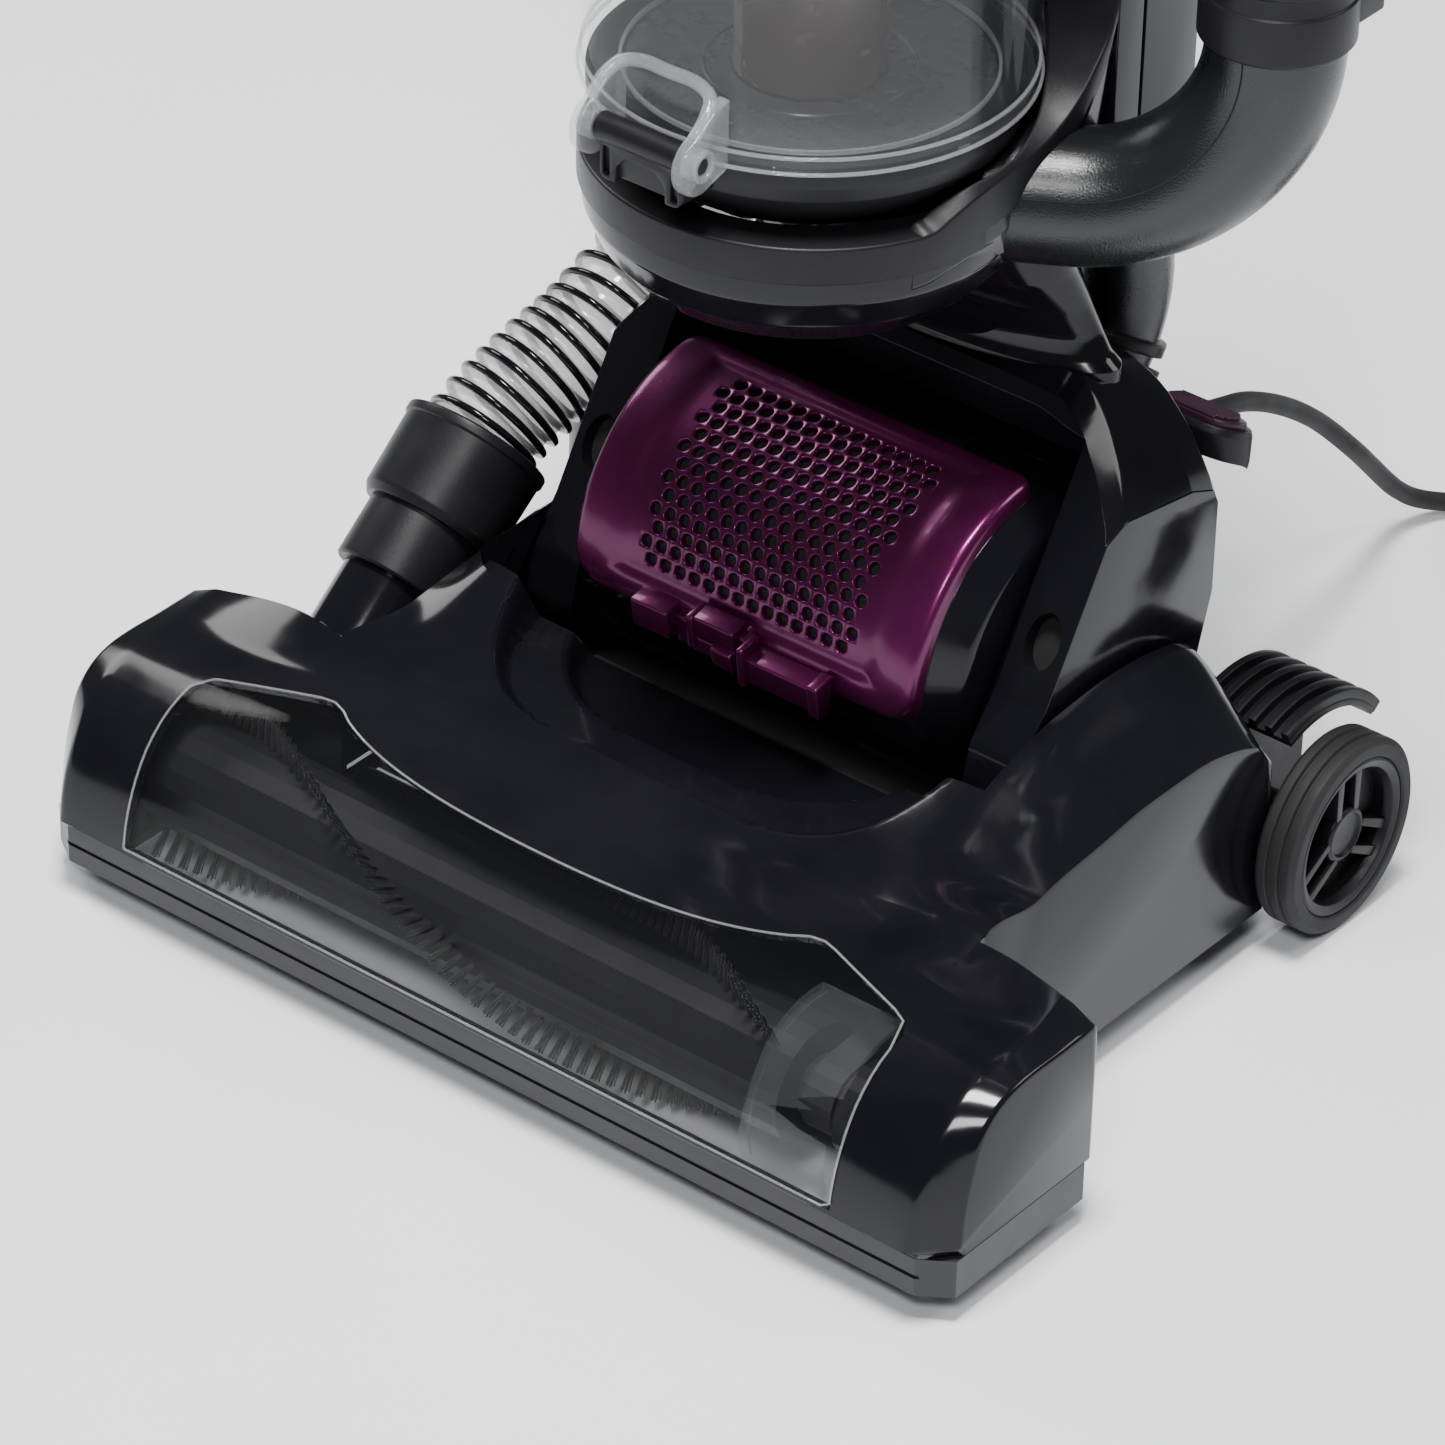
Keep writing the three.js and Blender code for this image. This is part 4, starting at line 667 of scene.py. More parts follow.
def head_cover():
    rows = head_rows()
    left, right = [[p for p in row if p[1] >= FRONT_Y] for row in (rows[0], rows[-1])]
    floor = [(x, y, min(z, NOTCH_FLOOR)) for x, y, z in left]
    outer = [(-WING_X, y, z) for _, y, z in floor]
    drop = [(-WING_X, y, DECK_FLOOR) for _, y, z in left]
    pieces = [cut_window(sheet("head_body", rows)),
        face_of("wing_side", right + [(WING_X, FRONT_Y, DECK_FLOOR)]),
        sheet("notch", [left, floor, outer, drop])]
    for side, start, row in ((1, WING_X, rows[-1]), (-1, -NOTCH_X, rows[0])):
        ends = end_rows(side, start, row[FRONT_COUNT][2])
        pieces += [cut_window(sheet("barrel_end", ends)), face_of("end_face", ends[-1])]
    cover = weld(merge("head_cover_skin", pieces), 38)
    swell_shoulders(cover)
    thicken(cover, WALL, 38)
    # The faces inside the drum's well take the matte near-black material: painted shade in the well.
    cover.data.materials.append(SHADE_AND_SEAM)
    for face in cover.data.polygons:
        x, y, z = place_of(face.center)
        near = hypot(y - WELL["y"], z - WELL["z"]) < WELL["radius"] + 0.6 or y > WELL["y"]
        if near and abs(x) < WELL["half"] and y > WELL["mouth"] and z < WELL["lip"]:
            face.material_index = 1
    return cover


SWELL = {"x": 124, "half_x": 46, "y": 67, "half_y": 25, "floor": 28, "height": 7}


def swell_shoulders(cover):
    """Swells the rear shoulder of each barrel end."""
    for vertex in cover.data.vertices:
        x, y, z = place_of(vertex.co)
        across = cos(pi / 2 * min(abs(abs(x) - SWELL["x"]) / SWELL["half_x"], 1)) ** 2
        along = cos(pi / 2 * min(abs(y - SWELL["y"]) / SWELL["half_y"], 1)) ** 2
        if z > SWELL["floor"]:
            vertex.co.z += SWELL["height"] * across * along * MM


def cut_window(obj):
    """Deletes the faces inside the window's outline."""
    shell = bmesh.new()
    shell.from_mesh(obj.data)
    gone = []
    for face in shell.faces:
        middle = face.calc_center_median() / MM
        y, z = middle.y + ORIGIN_Y, middle.z
        slope = (y + z) / sqrt(2)
        front = abs(middle.x) < WINDOW_HALF and y < WINDOW_REAR and z > WINDOW_FOOT
        if front and WINDOW_LOW < slope < window_top(middle.x):
            gone.append(face)
    bmesh.ops.delete(shell, geom=gone, context="FACES")
    shell.to_mesh(obj.data)
    shell.free()
    return obj


stands_for(head_cover(), "floor_head", "head_cover")


def nozzle_window():
    xs = [-WINDOW_HALF + 0.3] + [-126 + 1.5 * k for k in range(169)] + [WINDOW_HALF - 0.3]
    rows = []
    for x in xs:
        row = barrel_section(x, 70)[FIRST_WINDOW:LAST_WINDOW + 1]
        for end, beside, part in ((0, 1, 0.12), (-1, -2, 0.15)):
            row[end] = tuple(mix(a, b, part) for a, b in zip(row[end], row[beside]))
        rows.append([(x, y - 0.25, z + 0.25) for y, z in row])
    pane = thicken(sheet("window_pane", rows, WINDOW_CLEAR), 2.0)
    rim = [row[0] for row in rows[::6]] + rows[-1][1:-1:3]
    rim += [row[-1] for row in reversed(rows[::3])] + rows[0][1:-1:3][::-1]
    rim = [at(x, y - 0.2, z + 0.2) for x, y, z in rim]
    edge = tube("window_edge", rim + rim[:1], 0.35, CLEAR_EDGE, 8, caps=False)
    return merge("nozzle_window_clear", [pane, edge])


stands_for(nozzle_window(), "floor_head", "nozzle_window")


# ------------------------------------------------------------------ exhaust cover
DRUM = {"y": 165, "z": 94, "radius": 47.2, "half": 69, "room": 58}
COVER = {"radius": 52, "half_x": 61, "low": -6, "high": 93, "corner": 11, "top_corner": 6, "panel": 50.7,
    "middle": 1.4, "rim_inset": 4.2}
HOLES = {"columns": 15, "rows": 13, "pitch": 5.24, "row_pitch": 5.03, "radius": 1.86, "rim": 2.25}


def on_drum(x, arc, radius):
    """A place on a cylinder about the drum's axis; arc is the millimetres around it at the cover's radius."""
    angle = radians((COVER["low"] + COVER["high"]) / 2) + arc / COVER["radius"]
    return at(x, DRUM["y"] - radius * cos(angle), DRUM["z"] + radius * sin(angle))


def square_border(across, around):
    """Places round the square from -1 to 1, anticlockwise, with so many steps to a side."""
    corners = [(-1, -1), (1, -1), (1, 1), (-1, 1)]
    points = []
    for i, ((u0, v0), (u1, v1)) in enumerate(zip(corners, corners[1:] + corners[:1])):
        steps = around if i % 2 else across
        points += [(mix(u0, u1, k / steps), mix(v0, v1, k / steps)) for k in range(steps)]
    return points


def perforated_panel():
    """Square cells with a round hole each, in staggered rows, and a strip at both ends of the short rows."""
    points, faces = [], []
    half_x, half_y = HOLES["pitch"] / 2, HOLES["row_pitch"] / 2
    flat, hole, rim = COVER["panel"], HOLES["radius"], HOLES["rim"]
    for r in range(HOLES["rows"]):
        short = r % 2 == (HOLES["rows"] - 1) % 2
        count = HOLES["columns"] - (1 if short else 0)
        cy = (r - (HOLES["rows"] - 1) / 2) * HOLES["row_pitch"] + COVER["middle"]
        for c in range(count):
            cx = (c - (count - 1) / 2) * HOLES["pitch"]
            start = len(points)
            points += [on_drum(cx + half_x * u, cy + half_y * v, flat) for u, v in square_border(4, 4)]
            for radius, depth in ((rim, 0), (rim - 0.14, 0.1), (hole + 0.06, 0.4), (hole, 0.7),
                    (hole, 2.2)):
                angles = [radians(-135 + 22.5 * k) for k in range(16)]
                points += [on_drum(cx + radius * cos(a), cy + radius * sin(a), flat - depth)
                    for a in angles]
            for low in range(start, len(points) - 16, 16):
                faces += [(low + k, low + (k + 1) % 16, low + 16 + (k + 1) % 16, low + 16 + k)
                    for k in range(16)]
        for side in (-1, 1) if short else ():
            start = len(points)
            points += [on_drum(side * (half_x * count + half_x * i / 2), cy + half_y * (j / 2 - 1), flat)
                for i in range(3) for j in range(5)]
            corners = [start + i * 5 + j for i in range(2) for j in range(4)]
            faces += [(corner, corner + 1, corner + 6, corner + 5) for corner in corners]
    return add_mesh("panel", points, faces, PURPLE, 40)


def cover_frame():
    """The cover's border: from the pierced panel up a step, over the rim and down the skirt."""
    reach_x, reach_y = HOLES["pitch"] * HOLES["columns"] / 2, HOLES["row_pitch"] * HOLES["rows"] / 2
    half_arc = radians(COVER["high"] - COVER["low"]) / 2 * COVER["radius"]
    border = square_border(HOLES["columns"] * 4, HOLES["rows"] * 4)

    def outer(n, inset):
        hx, hy = COVER["half_x"] - inset, half_arc - inset
        corner = max((COVER["corner"] if n[1] < 0 else COVER["top_corner"]) - inset, 2)
        x, y = n[0] * hx, n[1] * hy
        cx, cy = hx - corner, hy - corner
        if abs(x) > cx and abs(y) > cy:
            dx, dy = abs(x) - cx, abs(y) - cy
            length = hypot(dx, dy)
            x, y = copysign(cx + dx / length * corner, x), copysign(cy + dy / length * corner, y)
        return x, y

    rings = []
    for t, depth in ((0, 1.3), (0.12, 1.3), (0.22, 1.25), (0.32, 1.0), (0.42, 0.55), (0.52, 0.22),
            (0.64, 0.05), (0.8, 0), (1, 0)):
        rings.append([])
        for n in border:
            x, y = outer(n, COVER["rim_inset"])
            start = (n[0] * reach_x, n[1] * reach_y + COVER["middle"])
            rings[-1].append(on_drum(mix(start[0], x, t), mix(start[1], y, t), COVER["radius"] - depth))
    for inset, depth in ((2.6, 0.06), (1.8, 0.24), (1.1, 0.6), (0.5, 1.2), (0.15, 2), (0, 3.1),
            (-0.4, 5.2), (-0.8, 7.6)):
        skirt = max(depth - 2, 0) * 1.1
        rings.append([on_drum(x, y + skirt * max(min(y / 20, 0), -1), COVER["radius"] - depth)
            for x, y in [outer(n, inset) for n in border]])
    return skin("border", rings, PURPLE, caps=False, sharp=40)


def filter_cover():
    cover = weld(merge("filter_cover_shell", [perforated_panel(), cover_frame()]), 40)
    mat = [[on_drum(x, mix(-33, 35, k / 24), COVER["panel"] - 2.4) for x in (-41, -20, 0, 20, 41)]
        for k in range(25)]
    backing = skin("filter_mat_face", mat, MAT, wrap=False, caps=False)
    return merge("filter_cover_purple", [cover, backing])


stands_for(filter_cover(), "filter_cover", "filter_cover")


LATCH_LEAN = 1.6


def cover_latch():
    blocks = [((-34.4, -21), (106.6, 114), (86.5, 97.5)), ((-21.4, -13), (111, 116), (84, 95)),
        ((-13.6, -11), (105.6, 113), (88, 101)), ((-13.4, -4), (107.8, 114), (86, 93.5)),
        ((-11.4, 3), (106.2, 113), (92.6, 101)), ((-4.6, 3), (105.4, 112), (86, 94)),
        ((2.6, 6.4), (109, 115), (85, 99)), ((6, 8.4), (103.8, 112), (84.4, 99)),
        ((8, 33), (105.8, 113), (85, 95.4)), ((30.6, 34.4), (104.4, 112), (84.6, 97))]
    pieces = []
    for (x0, x1), (y0, y1), (z0, z1) in blocks:
        outline = [(y0 + LATCH_LEAN, z0), (y1, z0), (y1, z1), (y0, z1 - LATCH_LEAN)]
        pieces.append(plate("latch", outline, "x", x0, x1, PURPLE, 0.7))
    return merge("cover_latch_purple", pieces)


stands_for(cover_latch(), "cover_latch", "cover_latch")


def motor_drum():
    r, half = DRUM["radius"], DRUM["half"]
    ends = []
    for side in (-1, 1):
        profile = [(20, side * half, 0), (r - 9, side * half, 5), (r, side * (half - 8), 8),
            (r, side * 61.6, 0.3), (r - 0.7, side * 61.3, 0.2), (r - 0.7, side * 60.8, 0.2),
            (r, side * 60.5, 0.3), (r, side * 30, 0), (20, side * 30, 0)]
        ends.append(lathe("drum_end", profile, (0, DRUM["y"], DRUM["z"]), GLOSS, "x", 128))
    middle = lathe("drum_middle", [(r - 1, -31, 0), (r - 1, 31, 0), (30, 31, 0), (30, -31, 0)],
        (0, DRUM["y"], DRUM["z"]), SATIN, "x", 96)
    return merge("motor_drum_black", ends + [middle])


stands_for(motor_drum(), "body", "motor_drum")


# ------------------------------------------------------------------ hood, neck and cradle
def offset_loop(loop, distance):
    """A closed (u, v) loop moved inwards."""
    area = sum(a.x * b.y - b.x * a.y for a, b in zip(loop, loop[1:] + loop[:1]))
    turn = 1 if area > 0 else -1
    result = []
    for i, p in enumerate(loop):
        a = (p - loop[i - 1]).normalized()
        b = (loop[(i + 1) % len(loop)] - p).normalized()
        n = (Vector((-a.y, a.x)) + Vector((-b.y, b.x))).normalized() * turn
        result.append(p + n * distance)
    return result


def slab(name, stations, material, edge, sharp=35, steps=4):
    """Closed (y, z, fillet) loops at several x, joined, with both end edges rounded by edge."""
    loops = [(x, rounded(loop, 5)) for x, loop in stations]
    rows = []

    def row(x, loop):
        rows.append([at(x, p.x, p.y) for p in loop])

    (x0, first), (x1, last) = loops[0], loops[-1]
    sense = 1 if x1 > x0 else -1
    for k in range(steps):
        a = pi / 2 * k / steps
        row(x0 + sense * edge * (1 - cos(a)), offset_loop(first, edge * (1 - sin(a))))
    for x, loop in loops:
        row(x0 + sense * edge if x == x0 else (x1 - sense * edge if x == x1 else x), loop)
    for k in range(steps - 1, -1, -1):
        a = pi / 2 * k / steps
        row(x1 - sense * edge * (1 - cos(a)), offset_loop(last, edge * (1 - sin(a))))
    return skin(name, rows, material, sharp=sharp)


HOOD_X = [0, 30, 50, 57, 63, 68, 73, 78, 82, 86, 88]
CREASE_Z = smooth_through(HOOD_X, [165.4, 165.4, 165.4, 165, 163, 159.4, 154.5, 149.6, 145.1, 139.8, 136.7])
TOP_Z = smooth_through(HOOD_X, [169, 169, 168.8, 168, 165.2, 161.4, 157, 152.2, 148.2, 143, 140.2])
REAR_Z = smooth_through(HOOD_X, [168.6, 168.6, 168.4, 167, 163.8, 159.6, 155, 149.6, 144.8, 138.6, 135])
EDGE_Z = smooth_through(HOOD_X, [163.5, 163.5, 163.3, 162.4, 160.2, 157.6, 152.8, 147, 141.4, 134.6, 130.6])
OPENING = smooth_through([60, 90, 120, 132, 140, 150, 160], [69.5, 69.7, 73.6, 75.6, 74.6, 70.6, 70])
ARM = {"slope": 1.682, "y": 138, "z": 93.8}


def hood_top(x):
    """Side view of the top at x: front crease, crown, rear bevel and rear edge, as (y, z, fillet)."""
    crease = CREASE_Z(x)
    front = ARM["y"] + (crease - ARM["z"]) / ARM["slope"]
    return [(front, crease, 0.5), (front + 9, TOP_Z(x), 7), (204, REAR_Z(x), 3), (214.5, EDGE_Z(x), 1.5),
        (217, EDGE_Z(x) - 5, 1.5)]


def hood_loop(x, arm):
    if arm:
        return ([(128, 82, 10), (ARM["y"], ARM["z"], 2)] + hood_top(x) + [(217, 96, 10), (211, 76, 10),
            (206, 58, 8), (188, 47, 8), (170, 40, 8), (148, 43, 8), (132, 52, 8), (124, 66, 8)])
    under = [(213.6, 84, 0.5), (213.6, 110, 0.5)]
    for angle in (35, 46, 57, 67, 76):
        a = radians(angle)
        under.append((DRUM["y"] + DRUM["room"] * cos(a), DRUM["z"] + DRUM["room"] * sin(a), 0.1))
    lip = 161 - 3 * smoothstep((x - 50) / 20)
    front = [(178.4, 156, 0.5), (ARM["y"] + (lip - ARM["z"]) / ARM["slope"], lip, 0.5)]
    return front + hood_top(x) + [(217, 84, 0.5)] + under


def disc_along(name, centre, direction, profile, material, segments):
    """Turns a profile of (radius, distance along the axis, fillet) about any direction."""
    u = direction.orthogonal().normalized()
    v = direction.cross(u)
    rows = [[at(*centre) + (direction * p.y + (u * cos(a) + v * sin(a)) * p.x) * MM
        for a in circle(segments)] for p in rounded(profile, 4, False)]
    return skin(name, rows, material)


def oval(name, centre, direction, half_x, half_u, profile, material):
    """An oval boss or pit: (scale, depth) steps along direction, its long axis in the x = 0 plane."""
    direction = Vector(direction).normalized()
    u, w = Vector((1, 0, 0)), direction.cross(Vector((1, 0, 0)))
    rows = []
    for scale, depth in profile:
        rows.append([at(*centre) + (direction * depth + u * (half_x * scale * cos(a))
            + w * (half_u * scale * sin(a))) * MM for a in circle(40)])
    return skin(name, rows, material)


PIT = {"x": 79.6, "y": 147.4, "z": 109.6}


def hood():
    across = [0, 8, 16, 24, 32, 40, 46, 51, 55, 58, 61, 64, 67, 69, 70]
    out = [70, 72, 74, 76, 78, 80, 82, 84, 86, 88]
    half = [(x, False) for x in across] + [(x, True) for x in out]
    stations = [(-x, hood_loop(x, arm)) for x, arm in reversed(half)]
    stations += [(x, hood_loop(x, arm)) for x, arm in half[1:]]
    shell = slab("shell", stations, GLOSS, 0.5, 24)
    for vertex in shell.data.vertices:
        x, _, z = place_of(vertex.co)
        if abs(x) > 69.99:
            wall = OPENING(z) - 70
            vertex.co.x += copysign(wall * max(1 - (abs(x) - 70) / 12, 0), x) * MM
    facing = (0, -0.86, 0.51)
    places = [(side * PIT["x"], PIT["y"], PIT["z"]) for side in (-1, 1)]
    carve(shell, [oval("pit", place, facing, 5.6, 8.6, [(0.94, -7), (1, 3)], SHADE_AND_SEAM) for place in places], 24)
    pieces = [shell]
    for side, place in zip((-1, 1), places):
        # A dark oval sunk in each pit: painted shade over the pit's floor.
        pieces.append(oval("pit_floor", place, facing, 5.5, 8.5, [(0.02, -5), (1, -5), (1, -5.6)], SHADE_AND_SEAM))
        pieces.append(lathe("trunnion", rod(9, side * 82, side * 96, 0, 0.6), (0, 170, 66), SATIN, "x", 48))
    return merge("hood_black", pieces)


stands_for(hood(), "body", "hood")
NECK = {"y": 188, "flat": 0.52, "foot_y": 198.6, "foot_flat": 0.27, "top": 206, "lean": 34}


def neck():
    """A collar that leans back as it goes down and flares on to the hood's top."""
    profile = [(40, 152), (64, 152), (64, 167.6, 0.3), (60.4, 170.4, 6), (57.4, 176, 12), (54.6, 185, 16),
        (51.8, 196, 12), (50, 206), (40, 206)]
    cone = lathe("neck_black", profile, (0, 0, 0), GLOSS, "z", 128)
    for vertex in cone.data.vertices:
        offset = vertex.co.y + ORIGIN_Y * MM
        low = smoothstep((NECK["top"] - vertex.co.z / MM) / NECK["lean"])
        middle, flat = mix(NECK["y"], NECK["foot_y"], low), mix(NECK["flat"], NECK["foot_flat"], low)
        vertex.co.y = (middle + offset * flat / MM - ORIGIN_Y) * MM
    return cone


stands_for(neck(), "body", "neck")
BIN = {"y": 138, "top": 64.2}
BODY_X = 66
CRADLE = {"front": 112.4, "rear": 186.3, "outer": 62.6, "seat": 63.2}


WALL_Y = [112, 117, 122, 131, 141, 152, 163, 171, 177, 183, 186.3]
BAND_TOP = smooth_through(WALL_Y, [244.8, 245, 247.4, 251.4, 254, 256.8, 261, 266.2, 272.3, 280.6, 290])
BAND_FOOT = smooth_through(WALL_Y, [234, 234.6, 236.4, 238.9, 241.3, 245.2, 250.8, 257, 265, 274.6, 284])


def cradle_wall(side):
    """Side of the cradle: a glossy shell, and a satin band that climbs backwards from the ring."""
    shell, band = [], []
    for k in range(90):
        y = mix(CRADLE["front"], CRADLE["rear"], k / 89)
        ring_x = sqrt(CRADLE["outer"] ** 2 - max(BIN["y"] - y, 0) ** 2)
        outer = mix(ring_x, BODY_X, smoothstep((y - 122) / 40))
        bin_x = sqrt(max(CRADLE["seat"] ** 2 - (BIN["y"] - y) ** 2, 0))
        inner = min(bin_x, outer - 2.2) - 3.6 * (1 - smoothstep((y - 118) / 26))
        top, foot = BAND_TOP(y), BAND_FOOT(y)
        rise = 2.6 * smoothstep((y - 113.5) / 3)
        section = [(inner, foot), (outer, foot, 0.5), (outer, top, 1.1), (inner, top + rise, 0.8)]
        band.append([at(side * p.x, y, p.y) for p in rounded(section, 4)])
        low = [(min(inner, 57), 226, 0), (outer - 4, 226, 6), (outer - 0.9, foot - 5, 3),
            (outer - 0.9, foot + 0.6), (min(inner, 57), foot + 0.6, 0)]
        shell.append([at(side * p.x, y, p.y) for p in rounded(low, 4)])
    return [skin("band", band, SATIN, sharp=40), skin("shell", shell, GLOSS, sharp=40)]


def cradle():
    bowl = lathe("bowl", [(38, 206.6), (42, 206.6, 1), (50, 210, 4), (57.4, 218, 6), (61.2, 227, 5),
        (61.7, 234.2, 0.2), (59, 234.2), (56, 226, 4), (48, 219, 3), (34, 216)], (0, BIN["y"], 0), GLOSS,
        "z", 160)
    hoop = lathe("ring", [(58, 233.9), (62.6, 233.9, 0.5), (62.6, 244.9, 1), (56, 245.5, 0.4),
        (50.5, 245.5, 0.5), (50.5, 243.4, 0.4), (58, 242)], (0, BIN["y"], 0), SATIN, "z", 160)
    for vertex in hoop.data.vertices:
        x, y = vertex.co.x / MM, vertex.co.y / MM + ORIGIN_Y - BIN["y"]
        reach = hypot(x, y)
        if reach < 57.5:
            wider = min(reach + 7 * smoothstep((y + 28) / 50), 57.6) / reach
            vertex.co.x, vertex.co.y = x * wider * MM, (y * wider + BIN["y"] - ORIGIN_Y) * MM
    return merge("cradle_black", [bowl, hoop] + cradle_wall(-1) + cradle_wall(1))


stands_for(cradle(), "body", "cradle")


# ------------------------------------------------------------------ hoses
SOCKET_AXIS = Vector((0, 0.787, 0.617)).normalized()
SOCKET_FOOT = (-120, 118, 78.4)


def on_socket(distance):
    return at(*SOCKET_FOOT) + SOCKET_AXIS * (distance * MM)


def socket_part(name, profile, material):
    return disc_along(name, SOCKET_FOOT, SOCKET_AXIS, profile, material, 96)


stands_for(socket_part("hose_socket_black", [(12, -64), (15, -64, 0.4), (15, 10, 0.4), (12, 10)], GLOSS),
    "floor_head", "hose_socket")
stands_for(socket_part("socket_sleeve_black", [(15.2, -20), (17.6, -20, 0.4), (18.2, -19.2, 0.5),
    (18.2, 12, 0.3), (15.2, 12)], SATIN), "floor_head", "socket_sleeve")
stands_for(socket_part("hose_cuff_black", [(18.4, 0), (20.2, 0, 0.6), (21.8, 2.6, 2.4), (22.2, 26, 0.4),
    (22.9, 26.5, 0.5), (22.9, 29.2, 0.9), (21.2, 29.7, 0.4), (19.6, 28, 0.5), (19.4, 14)], SATIN),
    "floor_head", "hose_cuff")
HOSE_RADIUS = 18
WIRE = {"radius": 1.2, "sunk": 0.95}
HOSE_DIP = 2.6


def ribbed_hose(name, path, pitch_at):
    """A clear hose that bulges between the turns of a black helix; pitch_at gives the pitch along it."""
    lengths = [0.0]
    for a, b in zip(path, path[1:]):
        lengths.append(lengths[-1] + (b - a).length / MM)
    phases, pitches = [0.0], [pitch_at(0)]
    for i in range(1, len(path)):
        pitches.append(pitch_at(lengths[i] / lengths[-1]))
        phases.append(phases[-1] + 2 * pi * (lengths[i] - lengths[i - 1]) / pitches[-1])
    frames = frames_along(path)
    rows = []
    for p, (_, u, v), phase, pitch in zip(path, frames, phases, pitches):
        row = []
        for a in circle(56):
            turn = (phase - a) / (2 * pi) % 1
            away = min(turn, 1 - turn) * pitch
            radius = HOSE_RADIUS - HOSE_DIP * smoothstep((away - 0.3) / 2.3)
            row.append(p + (u * cos(a) + v * sin(a)) * (radius * MM))
        rows.append(row)
    sleeve = skin(name + "_sleeve", rows, HOSE_CLEAR, caps=False, sharp=180)
    wire = []
    total = phases[-1]
    steps = int(total / (2 * pi) * 40)
    index = 0
    for s in range(steps + 1):
        phase = total * s / steps
        while index < len(phases) - 2 and phases[index + 1] < phase:
            index += 1
        t = (phase - phases[index]) / max(phases[index + 1] - phases[index], 1e-9)
        centre = path[index].lerp(path[index + 1], t)
        _, u, v = frames[index]
        _, u1, v1 = frames[index + 1]
        u, v = u.lerp(u1, t), v.lerp(v1, t)
        wire.append(centre + (u * cos(phase) + v * sin(phase)) * ((HOSE_RADIUS - WIRE["sunk"]) * MM))
    return merge(name, [sleeve, tube(name + "_wire", wire, WIRE["radius"], GLOSS, 12)])


HOSE_RUN = [(-116, 161, 109), (-111, 181, 119), (-108, 203, 132), (-101, 219, 151), (-87, 227, 174),
    (-75.6, 228, 192), (-74, 228, 211)]
hose_path = spline([on_socket(16), on_socket(32)] + [at(*p) for p in HOSE_RUN], 60)
floor_hose = ribbed_hose("floor_hose_clear", hose_path,
    lambda t: mix(5.6, 12.5, smoothstep((t - 0.25) / 0.4)))
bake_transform(floor_hose)
takes_place(floor_hose, "floor_hose")

ELBOW = {"x": 110.9, "y": 195, "z": 237.3, "bend": 52.5, "heading": 31, "radius": 19.1}
HOSE_PORT = {"x": 106, "y": 200, "z": 566, "bend": 40}


def bend_path(start, out, into, lengths, steps=40):
    """Straight, quarter turn, straight, in millimetres from a start point."""
    first, radius, last = lengths
    start, out, into = at(*start), Vector(out).normalized(), Vector(into).normalized()
    path = [start + out * (first * MM * k / 4) for k in range(4)]
    for k in range(steps + 1):
        a = pi / 2 * k / steps
        path.append(start + (out * (first + radius * sin(a)) + into * (radius * (1 - cos(a)))) * MM)
    corner = path[-1]
    return path + [corner + into * (last * MM * k / 4) for k in range(1, 5)]


def elbow():
    heading = radians(ELBOW["heading"])
    out = (cos(heading), sin(heading), 0)
    foot = (ELBOW["x"] - (ELBOW["bend"] + 22) * out[0], ELBOW["y"] - (ELBOW["bend"] + 22) * out[1],
        ELBOW["z"])
    path = bend_path(foot, out, (0, 0, 1), (22, ELBOW["bend"], 13))
    rows, line = [], []
    side = Vector((sin(heading), -cos(heading), 0))
    for p, (tangent, _, _) in zip(path, frames_along(path)):
        up = side.cross(tangent).normalized()
        rows.append(ring(p, side, up, ELBOW["radius"], 96))
        line.append(p + (up * 0.4 + side * 0.917) * ((ELBOW["radius"] - 0.1) * MM))
    seam = tube("parting_line", line, 0.28, SHADE_AND_SEAM, 8)
    return merge("elbow_black", [skin("elbow_wall", rows, TEXTURED, sharp=30), seam])


stands_for(elbow(), "body", "elbow")


def hose_collar():
    x, y = ELBOW["x"], ELBOW["y"]
    profile = [(19.6, 292), (20.6, 292, 0.5), (21.4, 292.8, 0.6), (21.4, 306, 0.4), (20.8, 306.6, 0.3),
        (20.8, 312, 0.3), (21.8, 312.8, 0.6), (21.8, 330, 1), (20.4, 331.4, 0.6), (18.8, 331.4, 0.4),
        (18.8, 323)]
    collar = lathe("collar", profile, (x, y, 0), SATIN)
    tab = plate("tab", [(x + 12, y + 10, 1), (x + 18, y + 10, 1), (x + 18, y + 24, 2),
        (x + 12, y + 24, 1)], "z", 296, 318, SATIN, 0.8)
    return merge("hose_end_black", [collar, tab])


stands_for(hose_collar(), "hose_end", "hose_end")


# The stretch hose's middle line runs straight from the first to the second x, y and z.
STRETCH = ((110.9, 106), (195, 200), (323, 565))
stretch_path = [at(*[mix(a, b, k / 400) for a, b in STRETCH]) for k in range(401)]
stretch_hose = ribbed_hose("stretch_hose_clear", stretch_path, lambda t: 6.0)
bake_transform(stretch_hose)
takes_place(stretch_hose, "stretch_hose")


def port():
    start = (HOSE_PORT["x"], HOSE_PORT["y"], HOSE_PORT["z"] - 12)
    path = bend_path(start, (0, 0, 1), (-1, 0, 0), (12, HOSE_PORT["bend"],
        HOSE_PORT["x"] - HOSE_PORT["bend"] - 46.3))
    return tube("hose_port_black", path, 20.6, TEXTURED, 72)


stands_for(port(), "body", "hose_port")
DUCT_ROUTE = [(36, 203, 128.6), (36.4, 227, 145), (36.6, 236.6, 161), (36.6, 238, 178), (36.4, 233, 196),
    (36, 212, 218)]


def rear_duct():
    route = spline([at(*p) for p in DUCT_ROUTE], 14)
    pieces = [tube("duct", route, 14, TEXTURED, 64)]
    for low, high, radius in ((0.20, 0.26, 17.4), (0.28, 0.33, 16.4)):
        span = route[round(low * len(route)):round(high * len(route)) + 1]
        pieces.append(tube("duct_ring", span, radius, SATIN, 64))
        soften(pieces[-1], 0.5, 2, 40)
    return merge("rear_duct_black", pieces)


stands_for(rear_duct(), "body", "rear_duct")


